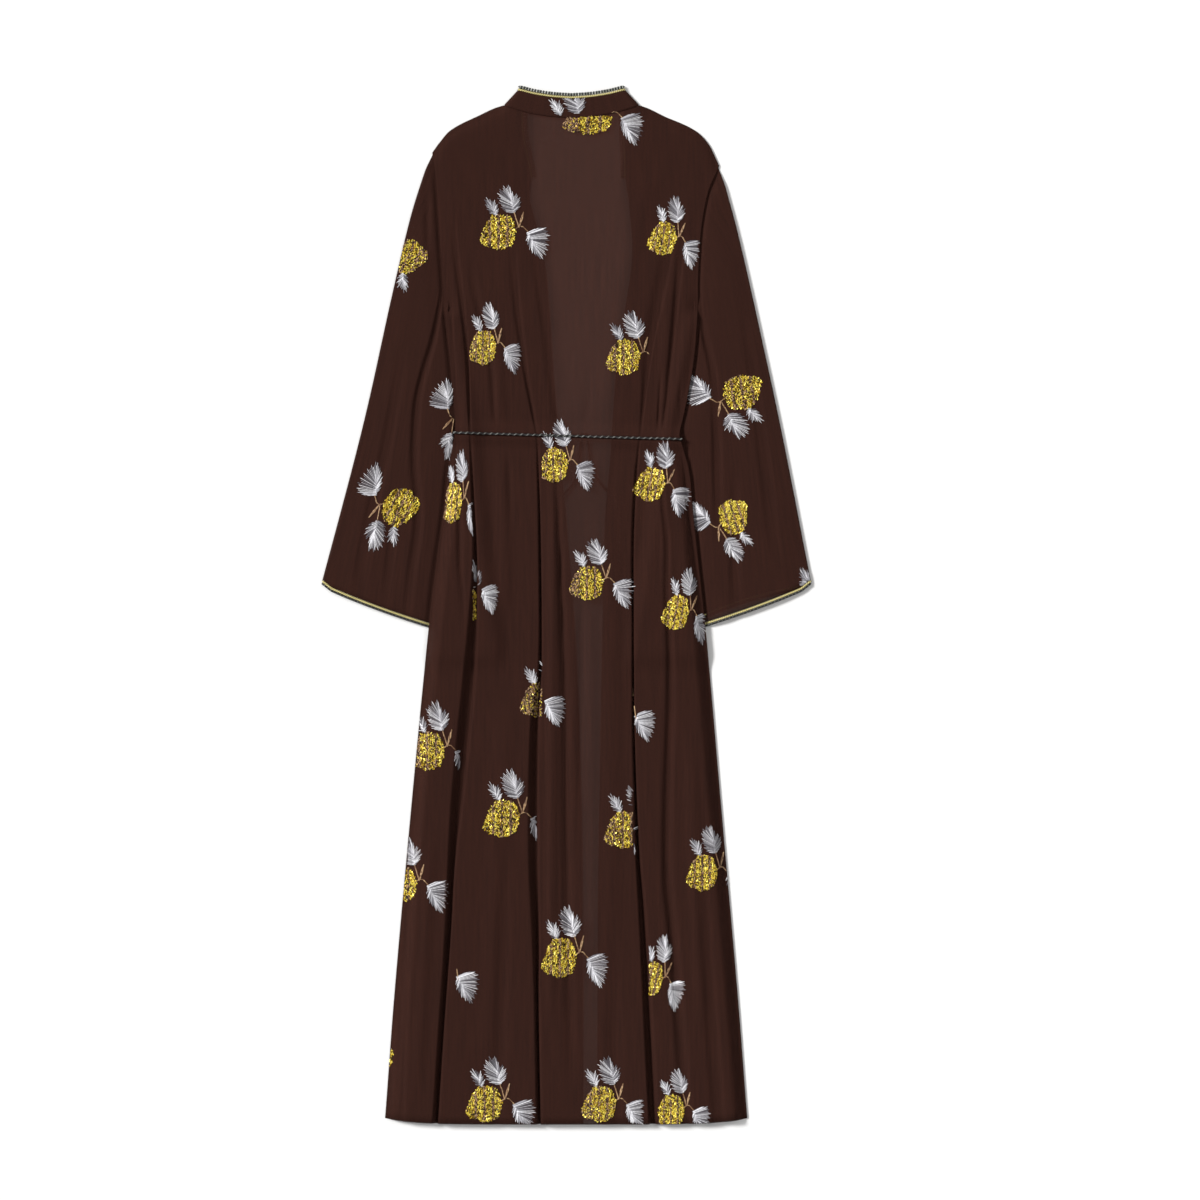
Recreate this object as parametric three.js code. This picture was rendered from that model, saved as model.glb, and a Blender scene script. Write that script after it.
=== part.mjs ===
// An abaya laid flat on a surface, back uppermost: a long open gown of thin crepe with a stand collar,
// bell sleeves, metallic edge trims and a thin braided belt. The collar points along +Y, +Z is up, and the
// origin is the middle of the garment's outline, on the surface. All sizes are in millimetres.
import * as THREE from "three";

// Driving sizes.
const fullLength = 1452; // collar edge to hem
const cloth = 1.2; // one layer of cloth
const seamGap = 0.3; // clearance where two pieces are sewn or lie on each other
const layer = cloth + seamGap; // from one layer to the next, middle to middle
const sleeveDepth = 3.2; // from a sleeve's lower wall to its upper wall, middle to middle
const beltThick = 3.5; // braided belt, diameter
const chestUp = 1140; // height of the underarm above the hem
const hemRise = 8; // how much the hem's corners curve up
const centreX = 7; // centre back
const waistUp = 968; // height of the narrowest row, where the belt lies
const yokeHeight = 285; // underarm to neck
const neckHalf = 94; // centre back to where the fronts' shoulders meet the neck

// Side edges of the body; up is the height above the hem.
const sides = [
  { up: 0, left: -254, right: 253 },
  { up: 174, left: -241.5, right: 240 },
  { up: 426, left: -219, right: 218 },
  { up: 678, left: -194.5, right: 196 },
  { up: 790, left: -181, right: 184 },
  { up: 867, left: -170, right: 176 },
  { up: 916, left: -165, right: 172 },
  { up: 951, left: -158, right: 163 },
  { up: 968, left: -155, right: 158 },
  { up: 993, left: -156, right: 163 },
  { up: 1061, left: -162, right: 177 },
  { up: 1140, left: -170, right: 183.5 },
  { up: 1182, left: -173, right: 184 },
  { up: 1238, left: -177, right: 187 },
  { up: 1273, left: -179, right: 191.5 },
  { up: 1308, left: -181.5, right: 199.5 },
  { up: 1341, left: -185, right: 213.5 },
  { up: 1359, left: -188, right: 213.5 },
];
const tipUp = { left: 1359, right: 1341 }; // shoulder tips
const waist = sides.find((row) => row.up === waistUp);
const chest = sides.find((row) => row.up === chestUp);

// Top edge of the back: shoulder, neck seam, shoulder. here is the distance across.
const topEdge = [
  { here: -188, up: 1359 },
  { here: -178, up: 1373 },
  { here: -163, up: 1390 },
  { here: -127, up: 1409 },
  { here: -85.5, up: 1425 },
  { here: -38, up: 1414 },
  { here: 7, up: 1409 },
  { here: 52, up: 1414 },
  { here: 99.5, up: 1425 },
  { here: 139, up: 1409 },
  { here: 180, up: 1390 },
  { here: 199.5, up: 1370 },
  { here: 213.5, up: 1341 },
];

// Inner edges of the two fronts, which fall open.
const opening = [
  { up: 0, left: 23, right: 43 },
  { up: 314, left: 22, right: 44 },
  { up: 510, left: 19, right: 47 },
  { up: 678, left: 12, right: 50 },
  { up: 846, left: -1, right: 54 },
  { up: 930, left: -9, right: 61 },
  { up: 979, left: -13, right: 64 },
  { up: 1070, left: -20, right: 71 },
  { up: 1140, left: -24.5, right: 82 },
  { up: 1217, left: -33, right: 92 },
  { up: 1296, left: -53, right: 87 },
];

// Stand collar from the centre back round to the front end. seam is sewn to the body, edge is free;
// both are distances from the centre back line. front says how far round the front a row lies.
const collarRows = [
  { along: 0, seam: 0, seamUp: 1409, edge: 0, edgeUp: 1435.5, front: 0 },
  { along: 30, seam: 30, seamUp: 1411, edge: 28, edgeUp: 1437.5, front: 0 },
  { along: 60, seam: 60, seamUp: 1416, edge: 53, edgeUp: 1441.5, front: 0 },
  { along: 84, seam: 84, seamUp: 1423, edge: 69, edgeUp: 1445.5, front: 0 },
  { along: 93, seam: 93.5, seamUp: 1426, edge: 75, edgeUp: 1446.5, front: 0 },
  { along: 102, seam: 91.5, seamUp: 1424.5, edge: 71, edgeUp: 1444, front: 0 },
  { along: 135, seam: 97, seamUp: 1387, edge: 71, edgeUp: 1391, front: 0.2 },
  { along: 170, seam: 96, seamUp: 1350, edge: 69, edgeUp: 1359, front: 0.6 },
  { along: 200, seam: 85, seamUp: 1317, edge: 67, edgeUp: 1338, front: 0.9 },
  { along: 222, seam: 70, seamUp: 1296, edge: 66, edgeUp: 1324, front: 1 },
];
const collarFold = 93; // where the collar turns under
const collarTurn = 14; // how much of the collar's length the turn takes up
const collarDepth = 4; // back collar above front collar, middle to middle
const collarSpread = 0.14; // the fronts lie a little to one side

// How high the back stands above what it lies on.
const crownRows = [
  { up: 0, crown: 12 },
  { up: 426, crown: 12 },
  { up: 700, crown: 11 },
  { up: 860, crown: 8 },
  { up: 930, crown: 4.5 },
  { up: 963, crown: 3 },
  { up: 1000, crown: 4 },
  { up: 1140, crown: 4.5 },
  { up: 1425, crown: 4 },
];
const edgeRoll = 20; // width over which the back comes down to its edge
// Shares of the width between which the back meets the collar and stays up; and how fast it gets there.
const neckShare = { from: 0.23, to: 0.75, fade: 0.04 };
// Shares of the yoke's height over which the armhole seam rises from the underarm and ends at the shoulder.
const armholeFade = { low: 0.12, high: 0.1 };

// Three deep folds that run down the back from the belt: half width, depth, how far the fold's bottom
// lies to the side of its mouth, and how far its walls close in.
const foldA = [
  { up: 0, x: -183, half: 13, depth: 9.6, lean: 7, pinch: 2.4 },
  { up: 130, x: -170, half: 13, depth: 9.6, lean: 7, pinch: 2.4 },
  { up: 270, x: -160, half: 13, depth: 9.6, lean: 7, pinch: 2.4 },
  { up: 410, x: -155, half: 13, depth: 9.6, lean: 5, pinch: 2 },
  { up: 550, x: -143, half: 14, depth: 9.4, lean: 2, pinch: 1 },
  { up: 690, x: -126, half: 14, depth: 9, lean: 0, pinch: 1 },
  { up: 845, x: -127, half: 12, depth: 6.4, lean: 0, pinch: 1 },
  { up: 920, x: -131, half: 9, depth: 2.8, lean: 0, pinch: 0.5 },
  { up: 963, x: -134, half: 8, depth: 0.6, lean: 0, pinch: 0 },
  { up: 1000, x: -137, half: 8, depth: 1.8, lean: 0, pinch: 0.3 },
  { up: 1070, x: -141, half: 8, depth: 1.6, lean: 0, pinch: 0 },
  { up: 1140, x: -145, half: 8, depth: 0, lean: 0, pinch: 0 },
];
const foldB = [
  { up: 0, x: -36, half: 10, depth: 9.4, lean: -5, pinch: 1.6 },
  { up: 270, x: -37, half: 10, depth: 9.4, lean: -5, pinch: 1.6 },
  { up: 410, x: -42, half: 10, depth: 9, lean: -5, pinch: 1.6 },
  { up: 690, x: -36, half: 10, depth: 8, lean: -4, pinch: 1.6 },
  { up: 845, x: -34, half: 10, depth: 5.6, lean: -3, pinch: 1 },
  { up: 920, x: -38, half: 9, depth: 2.4, lean: 0, pinch: 0.5 },
  { up: 963, x: -41, half: 8, depth: 0.6, lean: 0, pinch: 0 },
  { up: 1000, x: -45, half: 9, depth: 1.8, lean: 0, pinch: 0 },
  { up: 1070, x: -51, half: 10, depth: 1, lean: 0, pinch: 0 },
  { up: 1140, x: -56, half: 10, depth: 0, lean: 0, pinch: 0 },
];
const foldC = [
  { up: 0, x: 124, half: 19, depth: 9.8, lean: 0, pinch: 2.6 },
  { up: 130, x: 117, half: 17, depth: 9.8, lean: -2, pinch: 2.6 },
  { up: 270, x: 107, half: 14, depth: 9.6, lean: -4, pinch: 2.4 },
  { up: 410, x: 97, half: 12, depth: 9.6, lean: -6, pinch: 2.2 },
  { up: 550, x: 93, half: 11, depth: 9.2, lean: -6, pinch: 2 },
  { up: 690, x: 92, half: 11, depth: 8.6, lean: -6, pinch: 2 },
  { up: 845, x: 94, half: 10, depth: 5.8, lean: -3, pinch: 1 },
  { up: 920, x: 98, half: 9, depth: 2.6, lean: 0, pinch: 0.5 },
  { up: 963, x: 102, half: 8, depth: 0.6, lean: 0, pinch: 0 },
  { up: 1000, x: 107, half: 8, depth: 2, lean: 0, pinch: 0.3 },
  { up: 1070, x: 116, half: 8, depth: 1.6, lean: 0, pinch: 0 },
  { up: 1140, x: 124, half: 8, depth: 0, lean: 0, pinch: 0 },
];
const deepFolds = [foldA, foldB, foldC];
const foldColumns = [0.15, 0.42, 0.68]; // where the deep folds fall among the back's columns

// Soft folds: gathers over and under the belt, and slow waves in the skirt. x runs straight from the
// lower end to the upper end, and the height fades out at both.
const softFolds = [
  { x: -86, low: 700, upperX: -90, high: 953, half: 16, height: 1.6 },
  { x: -92, low: 974, upperX: -97, high: 1130, half: 12, height: 1.4 },
  { x: -6, low: 560, upperX: -8, high: 953, half: 14, height: 1.6 },
  { x: -9, low: 974, upperX: -14, high: 1090, half: 12, height: 1.2 },
  { x: 146, low: 700, upperX: 130, high: 952, half: 12, height: 1.8 },
  { x: 130, low: 974, upperX: 145, high: 1190, half: 11, height: 1.6 },
  { x: 158, low: 120, upperX: 142, high: 560, half: 18, height: 1.8 },
  { x: -226, low: 30, upperX: -196, high: 420, half: 16, height: 1.6 },
  { x: 60, low: 200, upperX: 40, high: 900, half: 20, height: -1.4 },
  { x: -110, low: 60, upperX: -84, high: 620, half: 24, height: 1.4 },
];

// Sleeves: the outer edge from the shoulder tip to the hem; down runs from 0 at the armhole to 1.
const sleeveOuter = {
  left: [
    { down: 0, x: -189, up: 1357 },
    { down: 0.06, x: -199.5, up: 1329 },
    { down: 0.2, x: -219, up: 1266 },
    { down: 0.4, x: -244.5, up: 1158 },
    { down: 0.7, x: -284.5, up: 978 },
    { down: 1, x: -341.5, up: 757 },
  ],
  right: [
    { down: 0, x: 214.6, up: 1339 },
    { down: 0.06, x: 224, up: 1305 },
    { down: 0.2, x: 240, up: 1245 },
    { down: 0.4, x: 264, up: 1140 },
    { down: 0.7, x: 301.5, up: 965 },
    { down: 1, x: 341.5, up: 757 },
  ],
};
const sleeveInner = {
  left: { x: -173.5, up: 1138, hemX: -106, hemUp: 675, bulge: 7 },
  right: { x: 187, up: 1138, hemX: 104, hemUp: 675, bulge: -7 },
};
const hemRound = { width: 16, height: 4 }; // the hem's corner at the sleeve's outer edge
const sleeveWide = { top: 215, hem: 250 }; // across the flat sleeve
// Two soft folds down each sleeve: shares of the width from its outer edge, and half widths.
const sleeveFold = { height: 1.6, left: 0.34, right: 0.4, half: 0.16, second: 0.14, secondHalf: 0.1 };
const sleeveShows = { from: 0.15, to: 0.62, fade: 0.12 }; // the part of the width that folds may lie on
const seamStandoff = 1.1; // a sleeve's middle to the body's edge where they are sewn
const hemBow = 5; // how far the middle of a sleeve's hem hangs below a straight line
const shortUnderHem = 20; // how much shorter the right sleeve's under side lies

const trimWide = 5.4; // sleeve and collar trims, across
const trimThick = 1.8;
const beltSag = { left: 967, right: 958 }; // the belt's height above the hem at each side
const beltLevel = 0.845; // the row of the body that the belt lies on
const beltRows = 0.04; // how far from that row the others start to slope with it
const beltOut = 3.3; // how far the belt stands out from a side edge
const lying = 0.05; // clearance left between two faces that lie on each other
const beltRise = { flat: 3, reach: 20 }; // the body lies up on the belt's under run this far to each side
// Where the body comes up onto a sleeve: over the underarm, past the hem, beside the inner edge, and the
// height to spare above it.
const liftRise = { top: 12, low: 44, run: 30, side: 27, clear: 3, spare: 0.4 };

// Reading the tables.
const clamp = (t) => Math.min(Math.max(t, 0), 1);
const ease = (t) => clamp(t) ** 2 * (3 - 2 * clamp(t));
const mix = (a, b, t) => a + (b - a) * t;
const hump = (t) => (Math.abs(t) < 1 ? (1 + Math.cos(Math.PI * t)) / 2 : 0);

// A smooth curve through a table's rows, read at one value of its first column.
function follow(rows, key, at, by = "up") {
  const last = rows.length - 1;
  if (at <= rows[0][by]) return rows[0][key];
  if (at >= rows[last][by]) return rows[last][key];
  const i = rows.findIndex((row) => row[by] > at) - 1;
  const slope = (k) => {
    const before = rows[Math.max(k - 1, 0)];
    const after = rows[Math.min(k + 1, last)];
    return (after[key] - before[key]) / (after[by] - before[by]);
  };
  const span = rows[i + 1][by] - rows[i][by];
  const t = (at - rows[i][by]) / span;
  const rise = rows[i + 1][key] - rows[i][key];
  const bend = t * (1 - t) * ((1 - t) * (slope(i) * span - rise) - t * (slope(i + 1) * span - rise));
  return rows[i][key] + rise * t + bend;
}

const place = (x, up, z) => new THREE.Vector3(x, up - fullLength / 2, z);

// What lies under the body.
// A sleeve's inner edge, which the body covers.
function sleeveInnerAt(side, down) {
  const { x, up, hemX, hemUp, bulge } = sleeveInner[side];
  return {
    x: mix(x, hemX, down) + bulge * Math.sin(Math.PI * Math.min(down * 1.4, 1)),
    up: mix(up, hemUp, down),
  };
}

// How far the sleeves push the body up, from nothing beside them to their full height over them.
function sleeveLift(x, up) {
  const { up: top, hemUp } = sleeveInner.left;
  const down = clamp((top - up) / (top - hemUp));
  const over = Math.max(
    sleeveInnerAt("left", down).x - x,
    x - sleeveInnerAt("right", down).x,
  );
  const under = ease((chestUp - up) / liftRise.top) * ease((up - hemUp + liftRise.low) / liftRise.run);
  const beside = ease((over + liftRise.side) / (liftRise.side - liftRise.clear));
  return (sleeveDepth + layer + liftRise.spare) * beside * under;
}

function beltUp(x) {
  return mix(beltSag.left, beltSag.right, clamp((x - waist.left) / (waist.right - waist.left)));
}

function beltLift(x, up) {
  const near = (beltRise.reach - Math.abs(up - beltUp(x))) / (beltRise.reach - beltRise.flat);
  return (beltThick + 1.5 * seamGap) * ease(near);
}

const floorOf = (x, up) => cloth / 2 + sleeveLift(x, up) + beltLift(x, up);

// The rows of the body near the belt follow its slope.
function rowUp(x, level) {
  const near = ease(2 - Math.abs(level - beltLevel) / beltRows);
  return level * chestUp + (beltUp(x) - beltLevel * chestUp) * near;
}

// Walls and tubes.
// A closed wall of cloth round a grid of points on its middle; ring joins the last column to the first.
function wall(grid, thickness, ring = false) {
  const rows = grid.length;
  const columns = grid[0].length;
  const at = (r, c) => grid[r][ring ? (c + columns) % columns : c];
  const corner = [];
  for (const sideOut of [0.5, -0.5]) {
    for (let r = 0; r < rows; r++) {
      for (let c = 0; c < columns; c++) {
        const back = ring ? c - 1 : Math.max(c - 1, 0);
        const next = ring ? c + 1 : Math.min(c + 1, columns - 1);
        const across = at(r, next).clone().sub(at(r, back));
        const along = at(Math.min(r + 1, rows - 1), c).clone().sub(at(Math.max(r - 1, 0), c));
        const out = across.cross(along).normalize();
        corner.push(...at(r, c).clone().addScaledVector(out, sideOut * thickness));
      }
    }
  }
  const faces = [];
  const quad = (a, b, c, d) => faces.push(a, b, c, a, c, d);
  const outer = (r, c) => r * columns + (ring ? c % columns : c);
  const inner = (r, c) => rows * columns + outer(r, c);
  const steps = ring ? columns : columns - 1;
  for (let c = 0; c < steps; c++) {
    for (let r = 0; r < rows - 1; r++) {
      quad(outer(r, c), outer(r, c + 1), outer(r + 1, c + 1), outer(r + 1, c));
      quad(inner(r, c), inner(r + 1, c), inner(r + 1, c + 1), inner(r, c + 1));
    }
    quad(outer(0, c + 1), outer(0, c), inner(0, c), inner(0, c + 1));
    quad(outer(rows - 1, c), outer(rows - 1, c + 1), inner(rows - 1, c + 1), inner(rows - 1, c));
  }
  for (let r = 0; r < rows - 1 && !ring; r++) {
    quad(outer(r, 0), outer(r + 1, 0), inner(r + 1, 0), inner(r, 0));
    quad(outer(r + 1, steps), outer(r, steps), inner(r, steps), inner(r + 1, steps));
  }
  return solid(corner, faces);
}

function solid(corner, faces) {
  const geometry = new THREE.BufferGeometry();
  geometry.setAttribute("position", new THREE.Float32BufferAttribute(corner, 3));
  geometry.setIndex(faces);
  geometry.computeVertexNormals();
  return geometry;
}

// An oval bead along a row of points. flat is the direction of the oval's long side at each point.
function bead(points, flats, wide, thick, ring) {
  const around = 8;
  const count = points.length;
  const corner = [];
  points.forEach((point, i) => {
    const before = points[ring ? (i + count - 1) % count : Math.max(i - 1, 0)];
    const after = points[ring ? (i + 1) % count : Math.min(i + 1, count - 1)];
    const along = after.clone().sub(before).normalize();
    const long = flats[i].clone().addScaledVector(along, -flats[i].dot(along)).normalize();
    const short = along.clone().cross(long);
    for (let k = 0; k < around; k++) {
      const turn = (2 * Math.PI * k) / around;
      corner.push(
        ...point
          .clone()
          .addScaledVector(long, (Math.cos(turn) * wide) / 2)
          .addScaledVector(short, (Math.sin(turn) * thick) / 2),
      );
    }
  });
  const faces = [];
  const vertex = (i, k) => (i % count) * around + (k % around);
  for (let i = 0; i < (ring ? count : count - 1); i++) {
    for (let k = 0; k < around; k++) {
      faces.push(vertex(i, k), vertex(i, k + 1), vertex(i + 1, k + 1));
      faces.push(vertex(i, k), vertex(i + 1, k + 1), vertex(i + 1, k));
    }
  }
  for (let k = 1; k < around - 1 && !ring; k++) {
    faces.push(vertex(0, 0), vertex(0, k + 1), vertex(0, k));
    faces.push(vertex(count - 1, 0), vertex(count - 1, k), vertex(count - 1, k + 1));
  }
  return solid(corner, faces);
}

// Plan of the body: below the underarm the rows are level, above it they bend to the shoulders.
// A patch between four edges; each edge is a function from 0 to 1 that gives { x, up }.
function patch(bottom, top, left, right, s, t) {
  const value = (key) => {
    const flat = mix(bottom(s)[key], top(s)[key], t);
    const leftPull = left(t)[key] - mix(bottom(0)[key], top(0)[key], t);
    const rightPull = right(t)[key] - mix(bottom(1)[key], top(1)[key], t);
    return flat + (1 - s) * leftPull + s * rightPull;
  };
  return { x: value("x"), up: value("up") };
}

function sideEdge(side, t) {
  const up = mix(chestUp, tipUp[side], t);
  return { x: follow(sides, side, up), up };
}

// Share of the way across the body at which a column lies, so that the folds keep their columns.
function columnShare(column, up) {
  const left = follow(sides, "left", up);
  const width = follow(sides, "right", up) - left;
  const stops = [0, ...foldColumns, 1];
  const shares = [0, ...deepFolds.map((fold) => (follow(fold, "x", up) - left) / width), 1];
  const i = Math.min(stops.findLastIndex((stop) => stop <= column), stops.length - 2);
  return mix(shares[i], shares[i + 1], (column - stops[i]) / (stops[i + 1] - stops[i]));
}

const hemCurve = (x, level) => hemRise * Math.abs(x / sides[0].left) ** 6 * (1 - level) ** 12;

// level runs from 0 at the hem to 1 at the underarm and 2 at the shoulders.
function backPlan(column, level) {
  if (level <= 1) {
    const flat = level * chestUp;
    const share = columnShare(column, flat);
    const x = mix(follow(sides, "left", flat), follow(sides, "right", flat), share);
    return { x, up: rowUp(x, level) + hemCurve(x, level), share };
  }
  const share = columnShare(column, chestUp);
  const across = (s) => ({ x: mix(chest.left, chest.right, s), up: chestUp });
  const shoulder = (s) => {
    const here = mix(topEdge[0].here, topEdge.at(-1).here, s);
    return { x: here, up: follow(topEdge, "up", here, "here") };
  };
  const point = patch(
    across,
    shoulder,
    (t) => sideEdge("left", t),
    (t) => sideEdge("right", t),
    share,
    level - 1,
  );
  return { ...point, share };
}

// The back.
// Height of the back's middle before its deep folds. share is the way across; yoke runs from 0 at the
// underarm to 1 at the shoulder.
function backBase(x, up, share, yoke) {
  const level = Math.min(up, sides.at(-2).up);
  const width = follow(sides, "right", level) - follow(sides, "left", level);
  const armhole = ease(yoke / armholeFade.low) * ease((1 - yoke) / armholeFade.high);
  const edge = mix(layer, sleeveDepth, armhole);
  const fromSide = ease((Math.min(share, 1 - share) * width) / edgeRoll);
  const { from, to, fade } = neckShare;
  const neck = ease((share - from) / fade) * ease((to - share) / fade);
  const fromTop = mix(ease(((1 - yoke) * yokeHeight) / edgeRoll), 1, neck);
  let height = mix(edge, follow(crownRows, "crown", up), Math.min(fromSide, fromTop));
  for (const fold of softFolds) {
    const t = (up - fold.low) / (fold.high - fold.low);
    const across = (x - mix(fold.x, fold.upperX, t)) / fold.half;
    height += fold.height * hump(across) * ease(5 * t) * ease(5 * (1 - t));
  }
  return floorOf(x, up) + height;
}

// Height of the back's middle at a place below the underarm.
function backHeight(x, up) {
  const left = follow(sides, "left", up);
  const share = clamp((x - left) / (follow(sides, "right", up) - left));
  const folds = deepFolds.map(
    (fold) => follow(fold, "depth", up) * hump((x - follow(fold, "x", up)) / follow(fold, "half", up)),
  );
  return backBase(x, up, share, 0) - folds.reduce((sum, depth) => sum + depth, 0);
}

function backPoint(column, level) {
  const { x, up, share } = backPlan(column, level);
  const point = place(x, up, backBase(x, up, share, Math.max(level - 1, 0)));
  if (level > 1) return point;
  for (const fold of deepFolds) {
    const across = (x - follow(fold, "x", up)) / follow(fold, "half", up);
    if (Math.abs(across) >= 1) continue;
    point.z -= follow(fold, "depth", up) * hump(across);
    point.x += follow(fold, "lean", up) * hump(across);
    point.x -= follow(fold, "pinch", up) * Math.sin(Math.PI * across);
  }
  return point;
}

function backColumns() {
  const near = [-0.036, -0.026, -0.018, -0.011, -0.004, 0.004, 0.011, 0.018, 0.026, 0.036];
  const between = [0.012, 0.03, 0.055, 0.085, 0.215, 0.265, 0.315, 0.36, 0.48, 0.53, 0.58, 0.62];
  const right = [0.74, 0.79, 0.84, 0.89, 0.93, 0.965, 0.988];
  const folds = foldColumns.flatMap((column) => near.map((step) => column + step));
  return [0, ...between, ...folds, ...right, 1].sort((a, b) => a - b);
}

// Rows up to the underarm; some lie where the body comes up onto the sleeves and the belt.
const lowerLevels = [
  0, 0.05, 0.12, 0.2, 0.28, 0.36, 0.44, 0.52, 0.553, 0.566, 0.58, 0.62, 0.68, 0.74, 0.79, 0.8275, 0.835,
  0.8423, 0.8477, 0.855, 0.8625, 0.895, 0.94, 0.975, 0.9895, 0.9945, 1,
];
const yokeLevels = [1.12, 1.3, 1.5, 1.7, 1.85, 1.94, 2];

const backTopEdge = backColumns().map((column) => backPlan(column, 2));

function backPiece() {
  const columns = backColumns();
  return wall(
    [...lowerLevels, ...yokeLevels].map((level) => columns.map((column) => backPoint(column, level))),
    cloth,
  );
}

// The fronts.
const neckTurn = 0.46; // share of the yoke's height at which the opening reaches the collar
const neckStations = [222, 200, 170, 135, 118, 106, 101];

// A front's inner edge above the underarm: up the opening, then round the neck seam by the collar's
// stations.
function innerEdge(side, t) {
  if (t <= neckTurn) {
    const up = mix(chestUp, opening.at(-1).up, t / neckTurn);
    return { x: follow(opening, side, up), up };
  }
  const spot = ((t - neckTurn) / (1 - neckTurn)) * (neckStations.length - 1);
  const i = Math.min(Math.floor(spot), neckStations.length - 2);
  const sign = side === "left" ? -1 : 1;
  const [from, to] = [neckStations[i], neckStations[i + 1]].map((along) => {
    const row = collarAt(along);
    return { x: collarX(sign, row, "seam") + sign * 3 * seamGap, up: row.seamUp - 2 * seamGap };
  });
  return { x: mix(from.x, to.x, spot - i), up: mix(from.up, to.up, spot - i) };
}

// share runs from 0 at the side seam to 1 at the front's own edge. The stops lie where it leaves the
// sleeve.
function frontX(side, share, up) {
  const { up: top, hemUp } = sleeveInner.left;
  const outer = follow(sides, side, up);
  const inner = follow(opening, side, up);
  const sign = side === "left" ? -1 : 1;
  const down = clamp((top - up) / (top - hemUp));
  const sleeve = (sleeveInnerAt(side, down).x - outer) / (inner - outer);
  const step = -sign / (inner - outer);
  const stops = [0, 0.3, 0.45, 0.6, 1];
  const shares = [
    0,
    Math.max(sleeve + liftRise.clear * step, 0.02),
    Math.max(sleeve + ((liftRise.clear + liftRise.side) / 2) * step, 0.05),
    Math.max(sleeve + liftRise.side * step, 0.08),
    1,
  ];
  const i = Math.min(stops.findLastIndex((stop) => stop <= share), stops.length - 2);
  return mix(outer, inner, mix(shares[i], shares[i + 1], (share - stops[i]) / (stops[i + 1] - stops[i])));
}

function frontPoint(side, share, level) {
  const sign = side === "left" ? -1 : 1;
  if (level <= 1) {
    const x = frontX(side, share, level * chestUp);
    const up = rowUp(x, level);
    return place(x, up + hemCurve(x, level), floorOf(x, up));
  }
  const across = (s) => ({ x: frontX(side, s, chestUp), up: chestUp });
  const tip = sides.at(-1)[side];
  const neck = centreX + sign * neckHalf;
  const shoulder = (s) => {
    const here = mix(tip, neck, s);
    return { x: here, up: follow(topEdge, "up", here, "here") - (seamGap + lying) * s };
  };
  const plan = patch(
    across,
    shoulder,
    (t) => sideEdge(side, t),
    (t) => innerEdge(side, t),
    share,
    level - 1,
  );
  return place(plan.x, plan.up, floorOf(plan.x, plan.up));
}

function frontPiece(side) {
  const shares = [0, 0.1, 0.2, 0.3, 0.35, 0.4, 0.45, 0.5, 0.55, 0.6, 0.72, 0.86, 1];
  if (side === "right") shares.reverse();
  const neckLevels = neckStations.map((_, i) => 1 + mix(neckTurn, 1, i / (neckStations.length - 1)));
  const levels = [...lowerLevels, 1.14, 1.3, ...neckLevels];
  return wall(
    levels.map((level) => shares.map((share) => frontPoint(side, share, level))),
    cloth,
  );
}

// The collar.
function collarAt(along) {
  const keys = ["seam", "seamUp", "edge", "edgeUp", "front"];
  return Object.fromEntries(keys.map((key) => [key, follow(collarRows, key, along, "along")]));
}

const collarX = (sign, row, key) => centreX + sign * row[key] * (1 + sign * collarSpread * row.front);

// Height of the collar's middle: up on the back, on the surface once it has turned under at the side.
function collarHeight(along) {
  return cloth / 2 + collarDepth * ease((collarFold + collarTurn / 2 - along) / collarTurn);
}

// The back's top edge as it is built, which the collar's seam follows up to the fold.
function backTop(x) {
  const i = backTopEdge.findLastIndex((point) => point.x <= x);
  const [from, to] = [backTopEdge[i], backTopEdge[i + 1]];
  return mix(from.up, to.up, (x - from.x) / (to.x - from.x));
}

function collarPoint(along, rise) {
  const sign = Math.sign(along);
  const row = collarAt(Math.abs(along));
  const seamX = collarX(sign, row, "seam");
  const seamUp = Math.abs(along) > collarFold ? row.seamUp : Math.max(backTop(seamX), row.seamUp);
  return place(
    mix(seamX, collarX(sign, row, "edge"), rise),
    mix(seamUp + 1.5 * seamGap, row.edgeUp, rise),
    collarHeight(Math.abs(along)),
  );
}

const collarHalf = [8, 22, 36, 50, 62, 74, 82, 87, 90, 93, 96, 99, 101, 106, 118, 135, 170, 200, 222];
const collarStations = [...collarHalf.map((along) => -along).reverse(), ...collarHalf];

function collarPiece() {
  return wall(
    [0, 0.5, 1].map((rise) => collarStations.map((along) => collarPoint(along, rise))),
    cloth,
  );
}

function collarTrim() {
  const edge = collarStations.map((along) => collarPoint(along, 1));
  const flats = edge.map((point, i) => {
    const next = edge[Math.min(i + 1, edge.length - 1)];
    const along = next.clone().sub(edge[Math.max(i - 1, 0)]).normalize();
    const rise = point.clone().sub(collarPoint(collarStations[i], 0.5));
    return rise.addScaledVector(along, -rise.dot(along)).normalize();
  });
  const points = edge.map((point, i) => point.clone().addScaledVector(flats[i], 2 * seamGap + trimWide / 2));
  points.forEach((point) => point.setZ(Math.max(point.z, trimThick / 2)));
  return bead(points, flats, trimWide, trimThick, false);
}

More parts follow.
